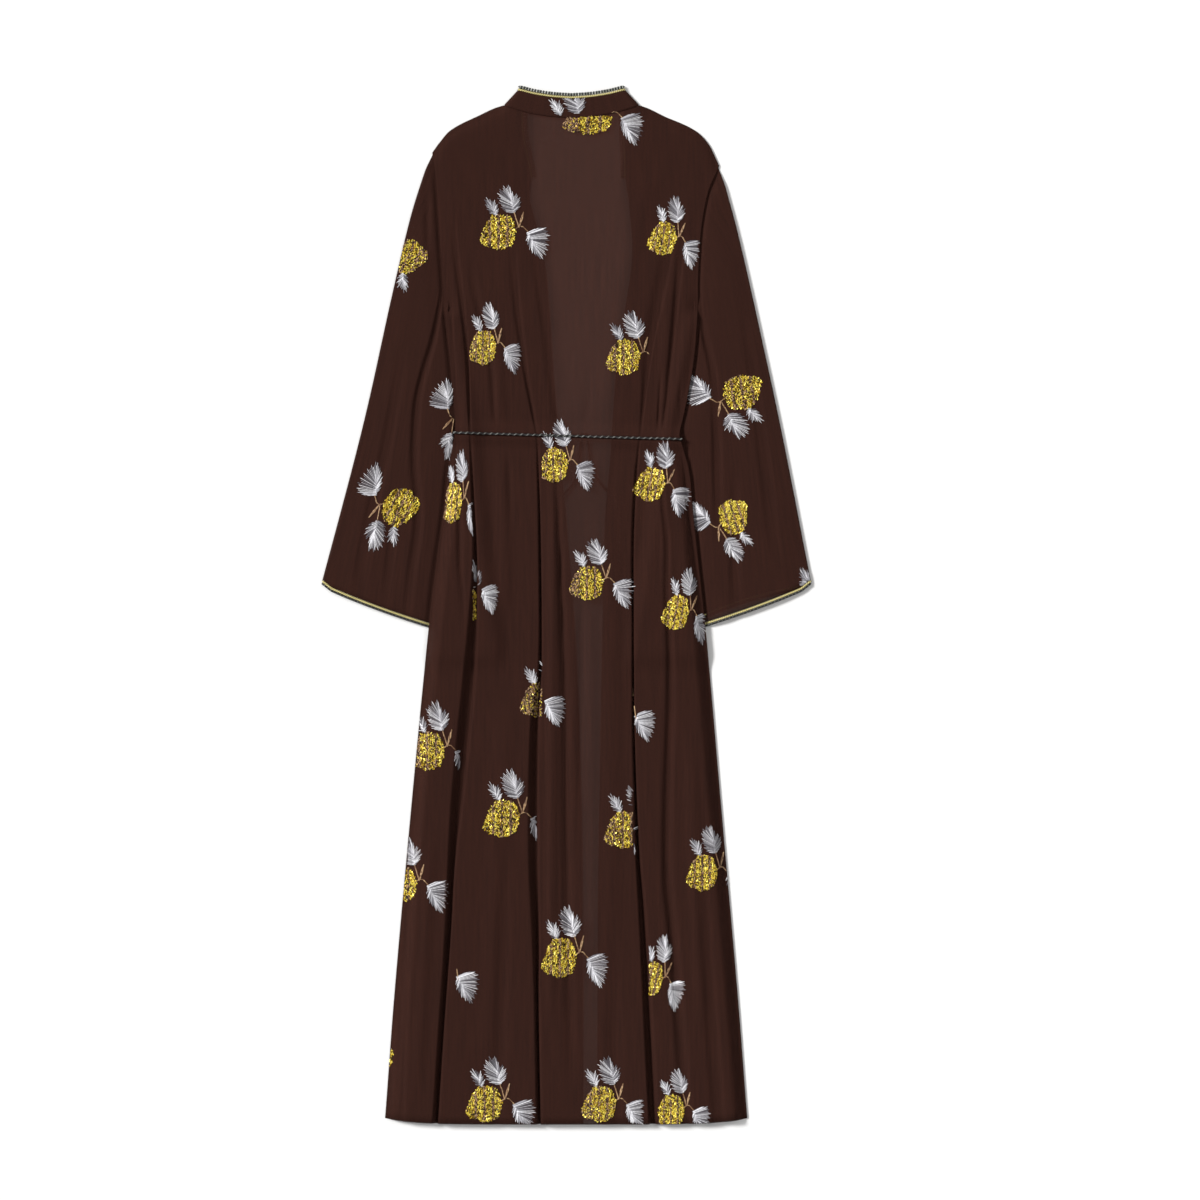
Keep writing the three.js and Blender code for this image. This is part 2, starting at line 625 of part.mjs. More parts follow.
// The sleeves.
// A point on a sleeve's middle. across runs from the outer edge at 0 to the inner edge at 1.
function sleevePlan(side, across, down) {
  const sign = side === "left" ? -1 : 1;
  const outerX = follow(sleeveOuter[side], "x", down, "down");
  const outerUp = follow(sleeveOuter[side], "up", down, "down");
  const inner = sleeveInnerAt(side, down);
  const up = mix(outerUp, inner.up, across);
  const armhole = sideEdge(side, clamp((up - chestUp) / (tipUp[side] - chestUp)));
  const straight = mix(outerX, inner.x, across);
  const nearSeam = (1 - ease(down / 0.25)) * ease(across / 0.08) * ease((1 - across) / 0.08);
  const x = straight + (armhole.x + sign * seamStandoff - straight) * nearSeam;
  const corner = hemRound.height * ease(1 - (across * sleeveWide.hem) / hemRound.width);
  const bow = hemBow * Math.sin(Math.PI * across ** 0.8);
  return { x, up: up + (corner - bow) * down ** 6 };
}

function sleeveFolds(side, across, down) {
  const shown = ease((sleeveShows.to - across) / sleeveShows.fade) * ease(across / sleeveShows.from);
  const first = hump((across - sleeveFold[side]) / sleeveFold.half);
  const second = 0.6 * hump((across - sleeveFold.second) / sleeveFold.secondHalf);
  return sleeveFold.height * shown * ease(down / 0.2) * (first + second);
}

// turn runs once round the flattened sleeve: upper side inwards, then lower side outwards.
function sleevePoint(side, turn, down) {
  const upper = turn < 0.5;
  const t = upper ? turn * 2 : 2 - turn * 2;
  const radius = sleeveDepth / 2;
  const plan = sleevePlan(side, t, down);
  const width = mix(sleeveWide.top, sleeveWide.hem, down);
  const fromEdge = Math.min(t, 1 - t) * width;
  const roll = fromEdge < radius ? Math.sqrt(1 - (1 - fromEdge / radius) ** 2) : 1;
  const short = side === "right" && !upper ? shortUnderHem : 0;
  const under = short * down ** 6 * Math.sin(Math.PI * t) * (1 - 0.5 * t);
  const lift = upper ? sleeveFolds(side, t, down) : 0;
  const z = cloth / 2 + radius + (upper ? 1 : -1) * radius * roll + lift;
  return place(plan.x, plan.up + under, z);
}

// Turns are closer together at the two folded edges.
function sleeveTurns() {
  const radiusShare = sleeveDepth / (sleeveWide.top + sleeveWide.hem);
  const near = [0, 0.3 * radiusShare, 1.2 * radiusShare];
  const far = [0.06, 0.14, 0.22, 0.3, 0.38, 0.48, 0.62, 0.78, 0.92];
  const farEdge = near.slice(1).map((t) => 1 - t);
  const half = [...near, ...far, ...farEdge.reverse(), 1];
  const upper = half.slice(0, -1).map((t) => t / 2);
  return [...upper, ...upper.map((t) => t + 0.5)];
}

function sleevePiece(side) {
  const downs = [0, 0.04, 0.1, 0.18, 0.28, 0.38, 0.5, 0.62, 0.74, 0.86, 0.95, 1];
  if (side === "left") downs.reverse();
  const turns = sleeveTurns();
  return wall(
    downs.map((down) => turns.map((turn) => sleevePoint(side, turn, down))),
    cloth,
    true,
  );
}

function sleeveTrim(side) {
  const turns = sleeveTurns();
  const outFromHem = 2 * seamGap + trimWide / 2;
  const hemDirection = sleevePoint(side, 0.25, 1).sub(sleevePoint(side, 0.25, 0.95));
  hemDirection.setZ(0).normalize();
  const points = turns.map((turn) => {
    const point = sleevePoint(side, turn, 1).addScaledVector(hemDirection, outFromHem);
    return point.setZ(Math.max(point.z, trimThick / 2));
  });
  const flats = points.map(() => hemDirection);
  return bead(points, flats, trimWide, trimThick, true);
}

// The belt.
// It runs from the knot under a front, round the side edge, over the back, round the other edge and under
// the other front back to the knot. The knot and both ends lie in the opening between the fronts.
const knot = { x: 25, up: 962, wide: 14, deep: 11, thick: 5.4, clear: 0.1 };
const underStops = [17.4, 8, -15, -45, -75, -95, -105, -113, -121, -129, -137, -145, -152];
const turnDegrees = [-70, -40, 0, 40, 70]; // round a side edge
const overStops = [
  -150, -143, -136, -129, -122, -112, -100, -80, -60, -48, -41, -34, -20, 0, 20, 45, 70, 88, 95, 102, 109,
  118, 126, 134, 142, 150, 156,
];
const underStopsRight = [159, 152, 144, 136, 128, 120, 112, 104, 94, 75, 55, 42, 32.6];
const away = cloth / 2 + seamGap + beltThick / 2 + lying;

const underBelt = (x) => place(x, beltUp(x), floorOf(x, beltUp(x)) - away);
const overBelt = (x) => place(x, beltUp(x), backHeight(x, beltUp(x)) + away);

// Points round a side edge of the back and the front under it.
function beltTurn(x, sign) {
  const low = underBelt(x);
  const high = overBelt(x);
  const middle = (low.z + high.z) / 2;
  const reach = (high.z - low.z) / 2;
  return turnDegrees.map((degrees) => {
    const turn = THREE.MathUtils.degToRad(degrees);
    const out = sign * beltOut * Math.cos(turn);
    return new THREE.Vector3(x + out, low.y, middle + reach * Math.sin(turn));
  });
}

function beltPiece() {
  const points = [
    ...underStops.map(underBelt),
    ...beltTurn(waist.left, -1),
    ...overStops.map(overBelt),
    ...beltTurn(waist.right, 1).reverse(),
    ...underStopsRight.map(underBelt),
  ];
  const flats = points.map(() => new THREE.Vector3(0, 1, 0));
  return bead(points, flats, beltThick, beltThick, false);
}

// The ends leave the knot, cross the front edges and lie inside the fronts.
const tailRoutes = {
  left: [
    { x: 20, up: 955.8, z: 2.4 },
    { x: 19, up: 944, z: 1.9 },
    { x: 18, up: 925, z: 1.85 },
    { x: 14, up: 905, z: 1.9 },
    { x: 8, up: 894, z: 2.1 },
    { x: 2, up: 887, z: 2.9 },
    { x: -5, up: 880, z: 3.7 },
    { x: -12, up: 868, z: 3.6 },
    { x: -16, up: 848, z: 3.3 },
    { x: -16, up: 820, z: 3.3 },
    { x: -13, up: 795, z: 3.3 },
    { x: -14, up: 770, z: 3.3 },
  ],
  right: [
    { x: 30, up: 955.8, z: 2.4 },
    { x: 31, up: 944, z: 1.9 },
    { x: 34, up: 925, z: 1.85 },
    { x: 41, up: 905, z: 1.9 },
    { x: 49, up: 894, z: 2.7 },
    { x: 57, up: 885, z: 3.7 },
    { x: 66, up: 876, z: 3.7 },
    { x: 73, up: 860, z: 3.4 },
    { x: 76, up: 835, z: 3.3 },
    { x: 73, up: 808, z: 3.3 },
    { x: 74, up: 784, z: 3.3 },
  ],
};

function tailPiece(side) {
  const route = tailRoutes[side].map(({ x, up, z }) => place(x, up, z));
  const curve = new THREE.CatmullRomCurve3(route, false, "centripetal");
  const section = new THREE.Shape().absarc(0, 0, beltThick / 2, 0, 2 * Math.PI, false);
  return new THREE.ExtrudeGeometry(section, {
    steps: 20,
    curveSegments: 4,
    bevelEnabled: false,
    extrudePath: curve,
  });
}

function knotPiece() {
  const geometry = new THREE.SphereGeometry(0.5, 14, 10);
  geometry.scale(knot.wide, knot.deep, knot.thick);
  const { x, y, z } = place(knot.x, knot.up, knot.thick / 2 + knot.clear);
  return geometry.translate(x, y, z);
}

// The garment.
const crepe = new THREE.MeshStandardMaterial({ color: 0x352220, roughness: 0.85, metalness: 0 });
const metallicTrim = new THREE.MeshStandardMaterial({ color: 0xa89a55, roughness: 0.45, metalness: 0.6 });
const braid = new THREE.MeshStandardMaterial({ color: 0x1d1c1a, roughness: 0.6, metalness: 0.2 });

const pieces = [
  ["back", backPiece(), crepe],
  ["front_left", frontPiece("left"), crepe],
  ["front_right", frontPiece("right"), crepe],
  ["sleeve_left", sleevePiece("left"), crepe],
  ["sleeve_right", sleevePiece("right"), crepe],
  ["collar", collarPiece(), crepe],
  ["collar_trim", collarTrim(), metallicTrim],
  ["sleeve_trim_left", sleeveTrim("left"), metallicTrim],
  ["sleeve_trim_right", sleeveTrim("right"), metallicTrim],
  ["belt", beltPiece(), braid],
  ["belt_knot", knotPiece(), braid],
  ["belt_tail_left", tailPiece("left"), braid],
  ["belt_tail_right", tailPiece("right"), braid],
];

const abaya = new THREE.Group();
for (const [name, geometry, material] of pieces) {
  const mesh = new THREE.Mesh(geometry, material);
  mesh.name = name;
  abaya.add(mesh);
}

const box = new THREE.Box3().setFromObject(abaya);
const middle = box.getCenter(new THREE.Vector3());
abaya.position.set(-middle.x, -middle.y, -box.min.z);

export default abaya;
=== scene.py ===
import math
import random
from functools import lru_cache

import bpy
import numpy as np
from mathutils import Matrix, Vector
from mathutils.bvhtree import BVHTree


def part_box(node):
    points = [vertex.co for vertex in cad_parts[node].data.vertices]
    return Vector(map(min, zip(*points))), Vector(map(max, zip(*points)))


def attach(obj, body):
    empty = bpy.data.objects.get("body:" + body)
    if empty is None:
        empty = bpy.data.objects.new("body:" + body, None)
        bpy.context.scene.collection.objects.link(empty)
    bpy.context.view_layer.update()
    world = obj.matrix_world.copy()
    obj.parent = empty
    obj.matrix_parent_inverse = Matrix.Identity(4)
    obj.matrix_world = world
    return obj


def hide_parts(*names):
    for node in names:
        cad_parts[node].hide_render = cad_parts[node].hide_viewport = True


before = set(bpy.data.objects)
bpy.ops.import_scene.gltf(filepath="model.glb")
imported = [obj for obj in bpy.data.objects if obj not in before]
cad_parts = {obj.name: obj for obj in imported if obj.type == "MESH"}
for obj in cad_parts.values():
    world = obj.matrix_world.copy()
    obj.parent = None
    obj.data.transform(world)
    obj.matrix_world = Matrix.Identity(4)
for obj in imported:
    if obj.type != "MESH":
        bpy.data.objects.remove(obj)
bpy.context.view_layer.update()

# An abaya of half-sheer brown crepe laid flat, back up. Sizes in the tables are millimetres: x from the
# middle of the garment, up from the hem, and z from the surface that it lies on.
random.seed(11)
mm = 0.001


def clamp(t):
    return min(max(t, 0.0), 1.0)


def ease(t):
    t = clamp(t)
    return t * t * (3 - 2 * t)


def mix(a, b, t):
    return a + (b - a) * t


def hump(t):
    return (1 + math.cos(math.pi * t)) / 2 if abs(t) < 1 else 0.0


# A smooth curve through one column of a table, read at a value of its first column.
def follow(rows, column, at):
    last = len(rows) - 1
    if at <= rows[0][0]:
        return rows[0][column]
    if at >= rows[last][0]:
        return rows[last][column]
    i = next(k for k in range(last) if rows[k + 1][0] > at)

    def slope(k):
        before, after = rows[max(k - 1, 0)], rows[min(k + 1, last)]
        return (after[column] - before[column]) / (after[0] - before[0])

    span = rows[i + 1][0] - rows[i][0]
    t = (at - rows[i][0]) / span
    rise = rows[i + 1][column] - rows[i][column]
    bend = t * (1 - t) * ((1 - t) * (slope(i) * span - rise) - t * (slope(i + 1) * span - rise))
    return rows[i][column] + rise * t + bend


# Values from the first stop to the last, with each stretch cut into its number of gaps.
def spread(stops, gaps):
    values = [stops[0]]
    for low, high, gap in zip(stops, stops[1:], gaps):
        values += [mix(low, high, (k + 1) / gap) for k in range(gap)]
    return values


# Straight lines from value to value, read at a place among the stops.
def between(stops, values, at):
    i = max(k for k in range(len(stops) - 1) if stops[k] <= at)
    return mix(values[i], values[i + 1], (at - stops[i]) / (stops[i + 1] - stops[i]))


def deselectAll():
    if bpy.context.object and bpy.context.object.mode != "OBJECT":
        bpy.ops.object.mode_set(mode="OBJECT")
    bpy.ops.object.select_all(action="DESELECT")


def applyModifier(obj, kind, **settings):
    deselectAll()
    bpy.context.view_layer.objects.active = obj
    obj.select_set(True)
    modifier = obj.modifiers.new(kind.title(), kind)
    for name, value in settings.items():
        setattr(modifier, name, value)
    bpy.ops.object.modifier_apply(modifier=modifier.name)


def joined(pieces, name):
    deselectAll()
    for piece in pieces:
        piece.select_set(True)
    bpy.context.view_layer.objects.active = pieces[0]
    bpy.ops.object.join()
    pieces[0].name = pieces[0].data.name = name
    return pieces[0]


# The camera hangs straight above the garment.
view = {"x": 0.0469, "y": 0.007, "z": 6.4, "field": 1.68, "sensor": 36}
bpy.ops.object.camera_add(location=(view["x"], view["y"], view["z"]), rotation=(0, 0, 0))
camera = bpy.context.object
camera.data.sensor_width = view["sensor"]
camera.data.lens = view["sensor"] * view["z"] / view["field"]
camera.data.clip_end = 30
bpy.context.scene.camera = camera
print("camera set")

body = {  # the cut of the garment
    "chestUp": 1140,
    "layer": 1.5,  # from one layer of cloth to the next
    "cloth": 1.2,  # what the frame allows for one layer
    "sleeveDepth": 3.2,
    "beltThick": 3.5,
    "hemRise": 8,
    "centreX": 7,
    "thread": 0.4,  # the real cloth, with its crinkle
}
backForm = {
    "roll": 20,  # how far in from a side edge the back rises
    "seam": 0.6,  # height of the closed side seams over what they lie on
    "overSleeve": 0.3,  # clear of the sleeve's seam at the armhole
    "armhole": (0.12, 0.1),  # shares of the yoke over which that comes and goes
    "neck": (0.23, 0.75, 0.04),  # from, to and run, across: the neck stays up where the shoulders come down
    "yoke": 285,  # chest line to shoulder
    "widest": 1340,  # the width is read no higher than this
    "foldFade": 8,  # folds fade out this near to a side edge
    "clear": 1.0,  # least height of the back over what it lies on
}
knot = {"x": 25, "up": 962, "z": 2.8}
knotFrom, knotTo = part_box("belt_knot")
shiftX = (knotFrom[0] + knotTo[0]) / 2 / mm - knot["x"]
shiftY = (knotFrom[1] + knotTo[1]) / 2 / mm - knot["up"]


def place(x, up, z):
    return Vector(((x + shiftX) * mm, (up + shiftY) * mm, z * mm))


sides = [  # up, left edge, right edge of the body
    (0, -254, 253), (174, -241.5, 240), (426, -219, 218), (678, -194.5, 196), (790, -181, 184),
    (867, -170, 176), (916, -165, 172), (951, -158, 163), (968, -155, 158), (993, -156, 163),
    (1061, -162, 177), (1140, -170, 183.5), (1182, -173, 184), (1238, -177, 187), (1273, -179, 191.5),
    (1308, -181.5, 199.5), (1341, -185, 213.5), (1359, -188, 213.5),
]
tipUp = {1: 1359, 2: 1341}
topEdge = [  # across, up: shoulder, neck, shoulder
    (-188, 1359), (-178, 1373), (-163, 1390), (-127, 1409), (-85.5, 1425), (-38, 1414), (7, 1409),
    (52, 1414), (99.5, 1425), (139, 1409), (180, 1390), (199.5, 1370), (213.5, 1341),
]
opening = [  # up, edge of the left front, edge of the right front
    (0, 23, 43), (314, 22, 44), (510, 19, 47), (678, 12, 50), (846, -1, 54), (930, -9, 61), (979, -13, 64),
    (1070, -20, 71), (1140, -24.5, 82), (1217, -33, 92), (1296, -53, 87),
]
crownRows = [  # up, height of the back over what it lies on
    (0, 12), (426, 12), (700, 11), (860, 8), (930, 4.5), (963, 3), (1000, 4), (1140, 4.5), (1425, 4),
]
foldLines = [  # up and x of three lines, along the deepest folds, that the columns of the mesh keep to
    [(0, -183), (130, -170), (270, -160), (410, -155), (550, -143), (690, -126), (845, -127), (1000, -137),
     (1140, -145)],
    [(0, -36), (410, -41), (690, -36), (845, -35), (963, -41), (1000, -46), (1070, -56), (1140, -62)],
    [(0, 120), (130, 113), (270, 105), (410, 96), (550, 92.5), (690, 92), (845, 94), (1000, 107),
     (1070, 117), (1140, 128)],
]
foldColumns = [0, 0.15, 0.42, 0.68, 1]  # left edge, those three lines, right edge

# Folds and creases of the back, each a list of stations: up, x of its deepest line, reach to the left,
# reach to the right, depth, and how far the lip leans over it: above 0 from the right, under 0 from the left.
# Depth and lean are 0 where they are left out.
backFolds = [
    [(-9, -180, 9, 4, 9.6, 3), (117, -172, 9, 4, 9.6, 3), (271, -161, 10, 4, 9.8, 3),
     (369, -156, 11, 5, 9.8, 3), (453, -148, 15, 7, 9.8, 2.4), (593, -134, 16, 8, 9.6, 2.4),
     (677, -128, 13, 7, 9.4, 2.4), (789, -125, 7, 4, 7.6, 2.4), (873, -129, 5, 3, 5, 1.6),
     (930, -132, 4, 2.5, 2.6, 1), (963, -134, 3, 2.5, 0.8), (1000, -135, 4.5, 3, 2.6, 1.4),
     (1083, -138, 6, 3, 2.6, 1.4), (1153, -145, 8, 4, 2.2, 1), (1209, -153, 8, 5, 1.4, 0.5),
     (1270, -159, 8, 6)],
    [(-9, -35, 8, 3, 9.6, 3), (173, -38, 8, 3, 9.6, 3), (257, -37.5, 12, 3, 9.4, 3),
     (383, -40, 15, 4, 9, 3), (565, -39, 13, 3.5, 9, 2.6), (640, -34.5, 6, 3, 8, 2.4),
     (817, -35.7, 4.5, 3, 6, 2.2), (915, -38.5, 4, 2.5, 3, 1.5), (963, -41, 3, 2.5, 0.8),
     (1000, -47, 5, 3, 2.8, 1.4), (1070, -58, 8, 4, 2.4, 1), (1167, -70, 10, 6, 1.6, 0.5),
     (1240, -76, 10, 8)],
    [(-9, 118, 6, 13, 9.8, -3), (173, 109, 6, 12, 9.8, -3), (285, 103, 5, 11, 9.8, -3),
     (369, 97.5, 4, 8, 9.4, -3), (453, 94.5, 3, 6, 8.6, -2.6), (565, 92, 3, 4.5, 7.6, -2.4),
     (690, 91.7, 3, 4, 7, -2.2), (817, 91.7, 3, 4, 5.6, -1.6), (901, 96, 3, 4, 3.4, -1),
     (963, 103, 2.5, 3, 0.8), (1013, 110, 7, 3, 2.8, 1.4), (1083, 119.7, 16, 3.5, 2.8, 1.6),
     (1139, 131, 20, 4, 2.6, 1.6), (1195, 142, 20, 5, 1.8, 1), (1260, 150, 16, 7)],
    [(700, -143, 5, 4), (747, -145, 5, 4, 1.8, 0.4), (789, -148, 6, 4, 3, 0.6), (845, -149, 6, 4, 3, 0.6),
     (901, -151, 5, 3, 1.8, 0.4), (943, -155, 3, 3)],
    [(973, -97, 4, 3), (999, -100, 6, 4, 2.2, 0.5), (1055, -104, 7, 4, 2.2, 0.5),
     (1125, -118, 8, 5, 2, 0.4), (1167, -128, 8, 6, 1.4), (1210, -134, 6, 6)],
    [(969, -10.5, 3, 3), (985, -12, 5, 3, 1.8, 0.4), (1013, -16, 7, 4, 2.4, 0.6),
     (1083, -24.5, 8, 5, 2.2, 0.4), (1167, -37, 8, 7, 1.2), (1220, -43, 7, 7)],
    [(40, 7, 9, 8), (173, 5, 10, 7, 2.6), (369, 2, 9, 6, 4, 0.5), (593, -0.7, 8, 5, 4.2, 0.8),
     (677, -3.5, 7, 4.5, 4.4, 1), (817, -9, 7, 4, 3.8, 1), (887, -13, 5, 4, 2.4, 0.6), (935, -15, 4, 4)],
    [(430, 20, 5, 5), (481, 20, 6, 5, 1.8), (593, 21, 6, 5, 2.4, 0.4), (705, 21.7, 6, 5, 1.6),
     (740, 22, 4, 4)],
    [(969, 136, 4, 3), (985, 138, 5, 3, 2, 1), (1013, 142, 6, 3, 2.8, 1.4), (1055, 146, 7, 3, 2.8, 1.4),
     (1125, 153, 8, 3.5, 2.8, 1.2), (1195, 159, 9, 5, 1.8, 0.6), (1250, 166, 8, 6)],
    [(968, 129.5, 3, 2.5), (985, 129.5, 4, 2.5, 2, 0.8), (1020, 131, 4, 2.5, 2, 0.8), (1062, 133, 4, 3)],
    [(970, 165, 3, 3), (987, 164, 5, 3, 2, 0.6), (1020, 160, 5, 3, 1.8, 0.6), (1050, 159, 4, 3)],
    [(-9, 168, 12, 9, 2.6), (89, 163, 12, 9, 3.2), (173, 156, 11, 9, 4), (271, 149, 10, 8, 4.6),
     (341, 142, 10, 8, 4.8), (453, 142, 10, 7, 4.2), (593, 146, 9, 7, 3.8), (677, 145, 8, 6, 3.8, 0.6),
     (733, 142, 8, 6, 3.6, 0.8), (817, 141, 7, 5, 3, 0.8), (873, 135, 6, 5, 2.6, 0.5), (935, 130, 4, 4)],
    [(760, 186, 4, 4), (817, 178, 5, 5, 3.2), (880, 170, 5, 5, 3), (930, 165, 4, 4, 1.4), (955, 162, 4, 4)],
    [(-9, -234, 10, 9, 2.4), (100, -230, 10, 9, 2.8), (250, -221, 10, 8, 2.8), (400, -210, 9, 8, 2),
     (470, -205, 8, 8)],
    [(974, -156, 3, 3), (1013, -156, 4, 4, 1.4), (1083, -160, 5, 4, 1.4), (1153, -163, 6, 5)],
    [(-9, 70, 10, 12, 1.8), (140, 66, 10, 12, 1.8), (330, 62, 10, 12)],
    [(-9, 215, 14, 10, 2.2), (200, 200, 14, 10, 2.2), (420, 184, 12, 10)],
    [(-9, -95, 14, 10, 1.8), (260, -88, 14, 10, 1.6), (420, -84, 12, 10)],
    [(820, -78, 6, 6), (890, -80, 6, 5, 1.4), (950, -84, 4, 4)],
    [(830, 60, 6, 6), (900, 62, 6, 5, 1.2), (950, 65, 4, 4)],
    [(974, 30, 4, 4), (1000, 30, 5, 4, 1.2), (1060, 32, 6, 5)],
    [(974, 68, 4, 4), (1000, 68, 5, 4, 1.4), (1080, 72, 6, 5)],
]
swells = [  # x and up at the lower end, x and up at the upper end, half width, height
    (-86, 700, -90, 953, 16, 1.6), (-92, 974, -97, 1130, 12, 1.4), (-22, 100, -18, 953, 12, 2.4),
    (146, 700, 130, 952, 12, 1.8), (130, 974, 145, 1190, 11, 1.2), (190, 120, 172, 560, 16, 1.8),
    (-210, 30, -188, 420, 14, 1.8), (60, 100, 62, 900, 22, 1.6), (-110, 60, -84, 620, 24, 1.4),
    (38, 200, 34, 760, 9, 1.6), (-60, 1170, -90, 1330, 26, 0.8), (80, 1180, 120, 1340, 24, 0.8),
]
beltSeat = {
    "left": 967,  # up, at the left side
    "right": 958,
    "level": 0.845,  # the row of the mesh that runs along the belt, as a share of the chest's height
    "run": 0.04,  # how far from that row the rows bend towards it
    "flat": 3,  # the layers over the cord lie level this far to each side of it
    "reach": 20,
    "gap": 0.45,
}
liftRise = {  # where the body's layers climb over a sleeve
    "top": 12, "low": 44, "run": 30, "side": 27, "clear": 3, "gap": 0.4,
}
foldForm = {"flat": 0.3, "lip": 3}  # level share of a fold's reach, and how far past its lip the push goes

sleeves = {
    "left": {
        "sign": -1,
        "outer": [
            (0, -189, 1357), (0.06, -199.5, 1329), (0.2, -219, 1266), (0.4, -244.5, 1158),
            (0.7, -284.5, 978), (1, -341.5, 757),
        ],
        "inner": (-173.5, 1138, -106, 675, 7),  # x, up at the underarm, x, up at the hem, bulge
        "edge": 1,
        "shortUnder": 0,
        "folds": [  # columns as the back's
            [(1215, -193, 5, 4), (1250, -194, 6, 4, 2.2), (1300, -194.5, 6, 4, 2.4),
             (1345, -193, 4, 3, 1.2), (1356, -191, 3, 3)],
            [(690, -226, 8, 8), (775, -216, 9, 8, 2), (831, -208, 9, 8, 2.6), (873, -208, 8, 7, 3),
             (915, -212, 8, 7, 3), (957, -212, 8, 7, 3.2), (1013, -208, 8, 7, 3.4),
             (1055, -198, 8, 6, 3.4), (1097, -186, 7, 5, 3.2), (1140, -178, 5, 4, 2.2), (1167, -175, 4, 3)],
            [(700, -292, 12, 12), (800, -284, 12, 12, 1.4), (960, -250, 10, 12, 1.6), (1100, -228, 8, 10)],
            [(720, -254, 9, 9), (800, -246, 9, 9, 1.4), (900, -238, 8, 9)],
        ],
    },
    "right": {
        "sign": 1,
        "outer": [
            (0, 214.6, 1339), (0.06, 224, 1305), (0.2, 240, 1245), (0.4, 264, 1140), (0.7, 301.5, 965),
            (1, 341.5, 757),
        ],
        "inner": (187, 1138, 104, 675, -7),
        "edge": 2,
        "shortUnder": 20,
        "folds": [
            [(1010, 209, 7, 9), (1055, 204, 7, 8, 2.2), (1111, 191, 5, 7, 3), (1153, 184.5, 4, 5, 2.4),
             (1175, 182, 3, 4)],
            [(800, 214, 9, 9), (900, 211, 9, 9, 2.2), (960, 210, 9, 9, 2.4), (1040, 206, 8, 8)],
            [(690, 238, 10, 10), (780, 236, 10, 10, 2), (860, 236, 9, 9, 1.6), (920, 236, 8, 8)],
            [(760, 296, 12, 12), (880, 282, 12, 12, 1.6), (1040, 262, 10, 10, 1.2), (1150, 244, 8, 8)],
        ],
    },
}


# Middle, both reaches, depth and lean of one fold at a height in half millimetres, or None beyond its ends.
@lru_cache(maxsize=None)
def station(folds, index, halfMm):
    rows = foldSets[folds][index]
    up = halfMm / 2
    if not rows[0][0] < up < rows[-1][0]:
        return None
    return tuple(follow(rows, column, up) for column in range(1, 6))


foldSets = {"back": backFolds, "left": sleeves["left"]["folds"], "right": sleeves["right"]["folds"]}
foldSets = {name: [[(*row, 0, 0)[:6] for row in fold] for fold in folds] for name, folds in foldSets.items()}
underarm, sleeveHem = sleeves["left"]["inner"][1], sleeves["left"]["inner"][3]


# How far the folds lower the cloth at a place, and how far they push it sideways.
def foldAt(folds, x, up):
    drop = shift = 0.0
    for index in range(len(foldSets[folds])):
        found = station(folds, index, round(2 * up))
        if found is None:
            continue
        middle, left, right, depth, lean = found
        off = x - middle
        away = abs(off) / (left if off < 0 else right)
        if away < 1:
            drop = max(drop, depth * (1 - ease((away - foldForm["flat"]) / (1 - foldForm["flat"]))))
        lip = right if lean > 0 else -left
        shift -= lean * hump((off - lip) / (abs(lip) + foldForm["lip"]))
    return drop, shift


def sleeveInner(side, down):
    x, up, hemX, hemUp, bulge = sleeves[side]["inner"]
    return mix(x, hemX, down) + bulge * math.sin(math.pi * min(down * 1.4, 1)), mix(up, hemUp, down)


def sleeveDown(up):
    return clamp((underarm - up) / (underarm - sleeveHem))


# How far the body's layers are lifted by the sleeve that is tucked under their edge.
def sleeveLift(x, up):
    down = sleeveDown(up)
    over = max(sleeveInner("left", down)[0] - x, x - sleeveInner("right", down)[0])
    under = ease((body["chestUp"] - up) / liftRise["top"])
    under *= ease((up - sleeveHem + liftRise["low"]) / liftRise["run"])
    full = body["sleeveDepth"] + body["layer"] + liftRise["gap"]
    return full * ease((over + liftRise["side"]) / (liftRise["side"] - liftRise["clear"])) * under


def beltUp(x):
    left, right = sides[8][1], sides[8][2]
    return mix(beltSeat["left"], beltSeat["right"], clamp((x - left) / (right - left)))


def beltLift(x, up):
    reach = beltSeat["reach"]
    near = ease((reach - abs(up - beltUp(x))) / (reach - beltSeat["flat"]))
    return (body["beltThick"] + beltSeat["gap"]) * near


def floorOf(x, up):
    return body["cloth"] / 2 + sleeveLift(x, up) + beltLift(x, up)


def rowUp(x, level):
    chest, row = body["chestUp"], beltSeat["level"]
    return level * chest + (beltUp(x) - row * chest) * ease(2 - abs(level - row) / beltSeat["run"])


# The hem's corners rise, and only the rows near the hem follow them.
def hemCurve(x, level):
    return body["hemRise"] * abs(x / sides[0][1]) ** 6 * (1 - level) ** 12


# A point of the patch between four edges, each a function from 0 to 1 that gives (x, up).
def patch(bottom, top, left, right, s, t):
    ends = bottom(s), top(s), left(t), right(t), bottom(0), top(0), bottom(1), top(1)
    point = []
    for k in (0, 1):
        b, a, l, r, b0, a0, b1, a1 = (end[k] for end in ends)
        point.append(mix(b, a, t) + (1 - s) * (l - mix(b0, a0, t)) + s * (r - mix(b1, a1, t)))
    return point


def sideEdge(edge, t):
    up = mix(body["chestUp"], tipUp[edge], t)
    return follow(sides, edge, up), up


def columnShare(column, up):
    left = follow(sides, 1, up)
    width = follow(sides, 2, up) - left
    shares = [0] + [(follow(line, 1, up) - left) / width for line in foldLines] + [1]
    return between(foldColumns, shares, column)


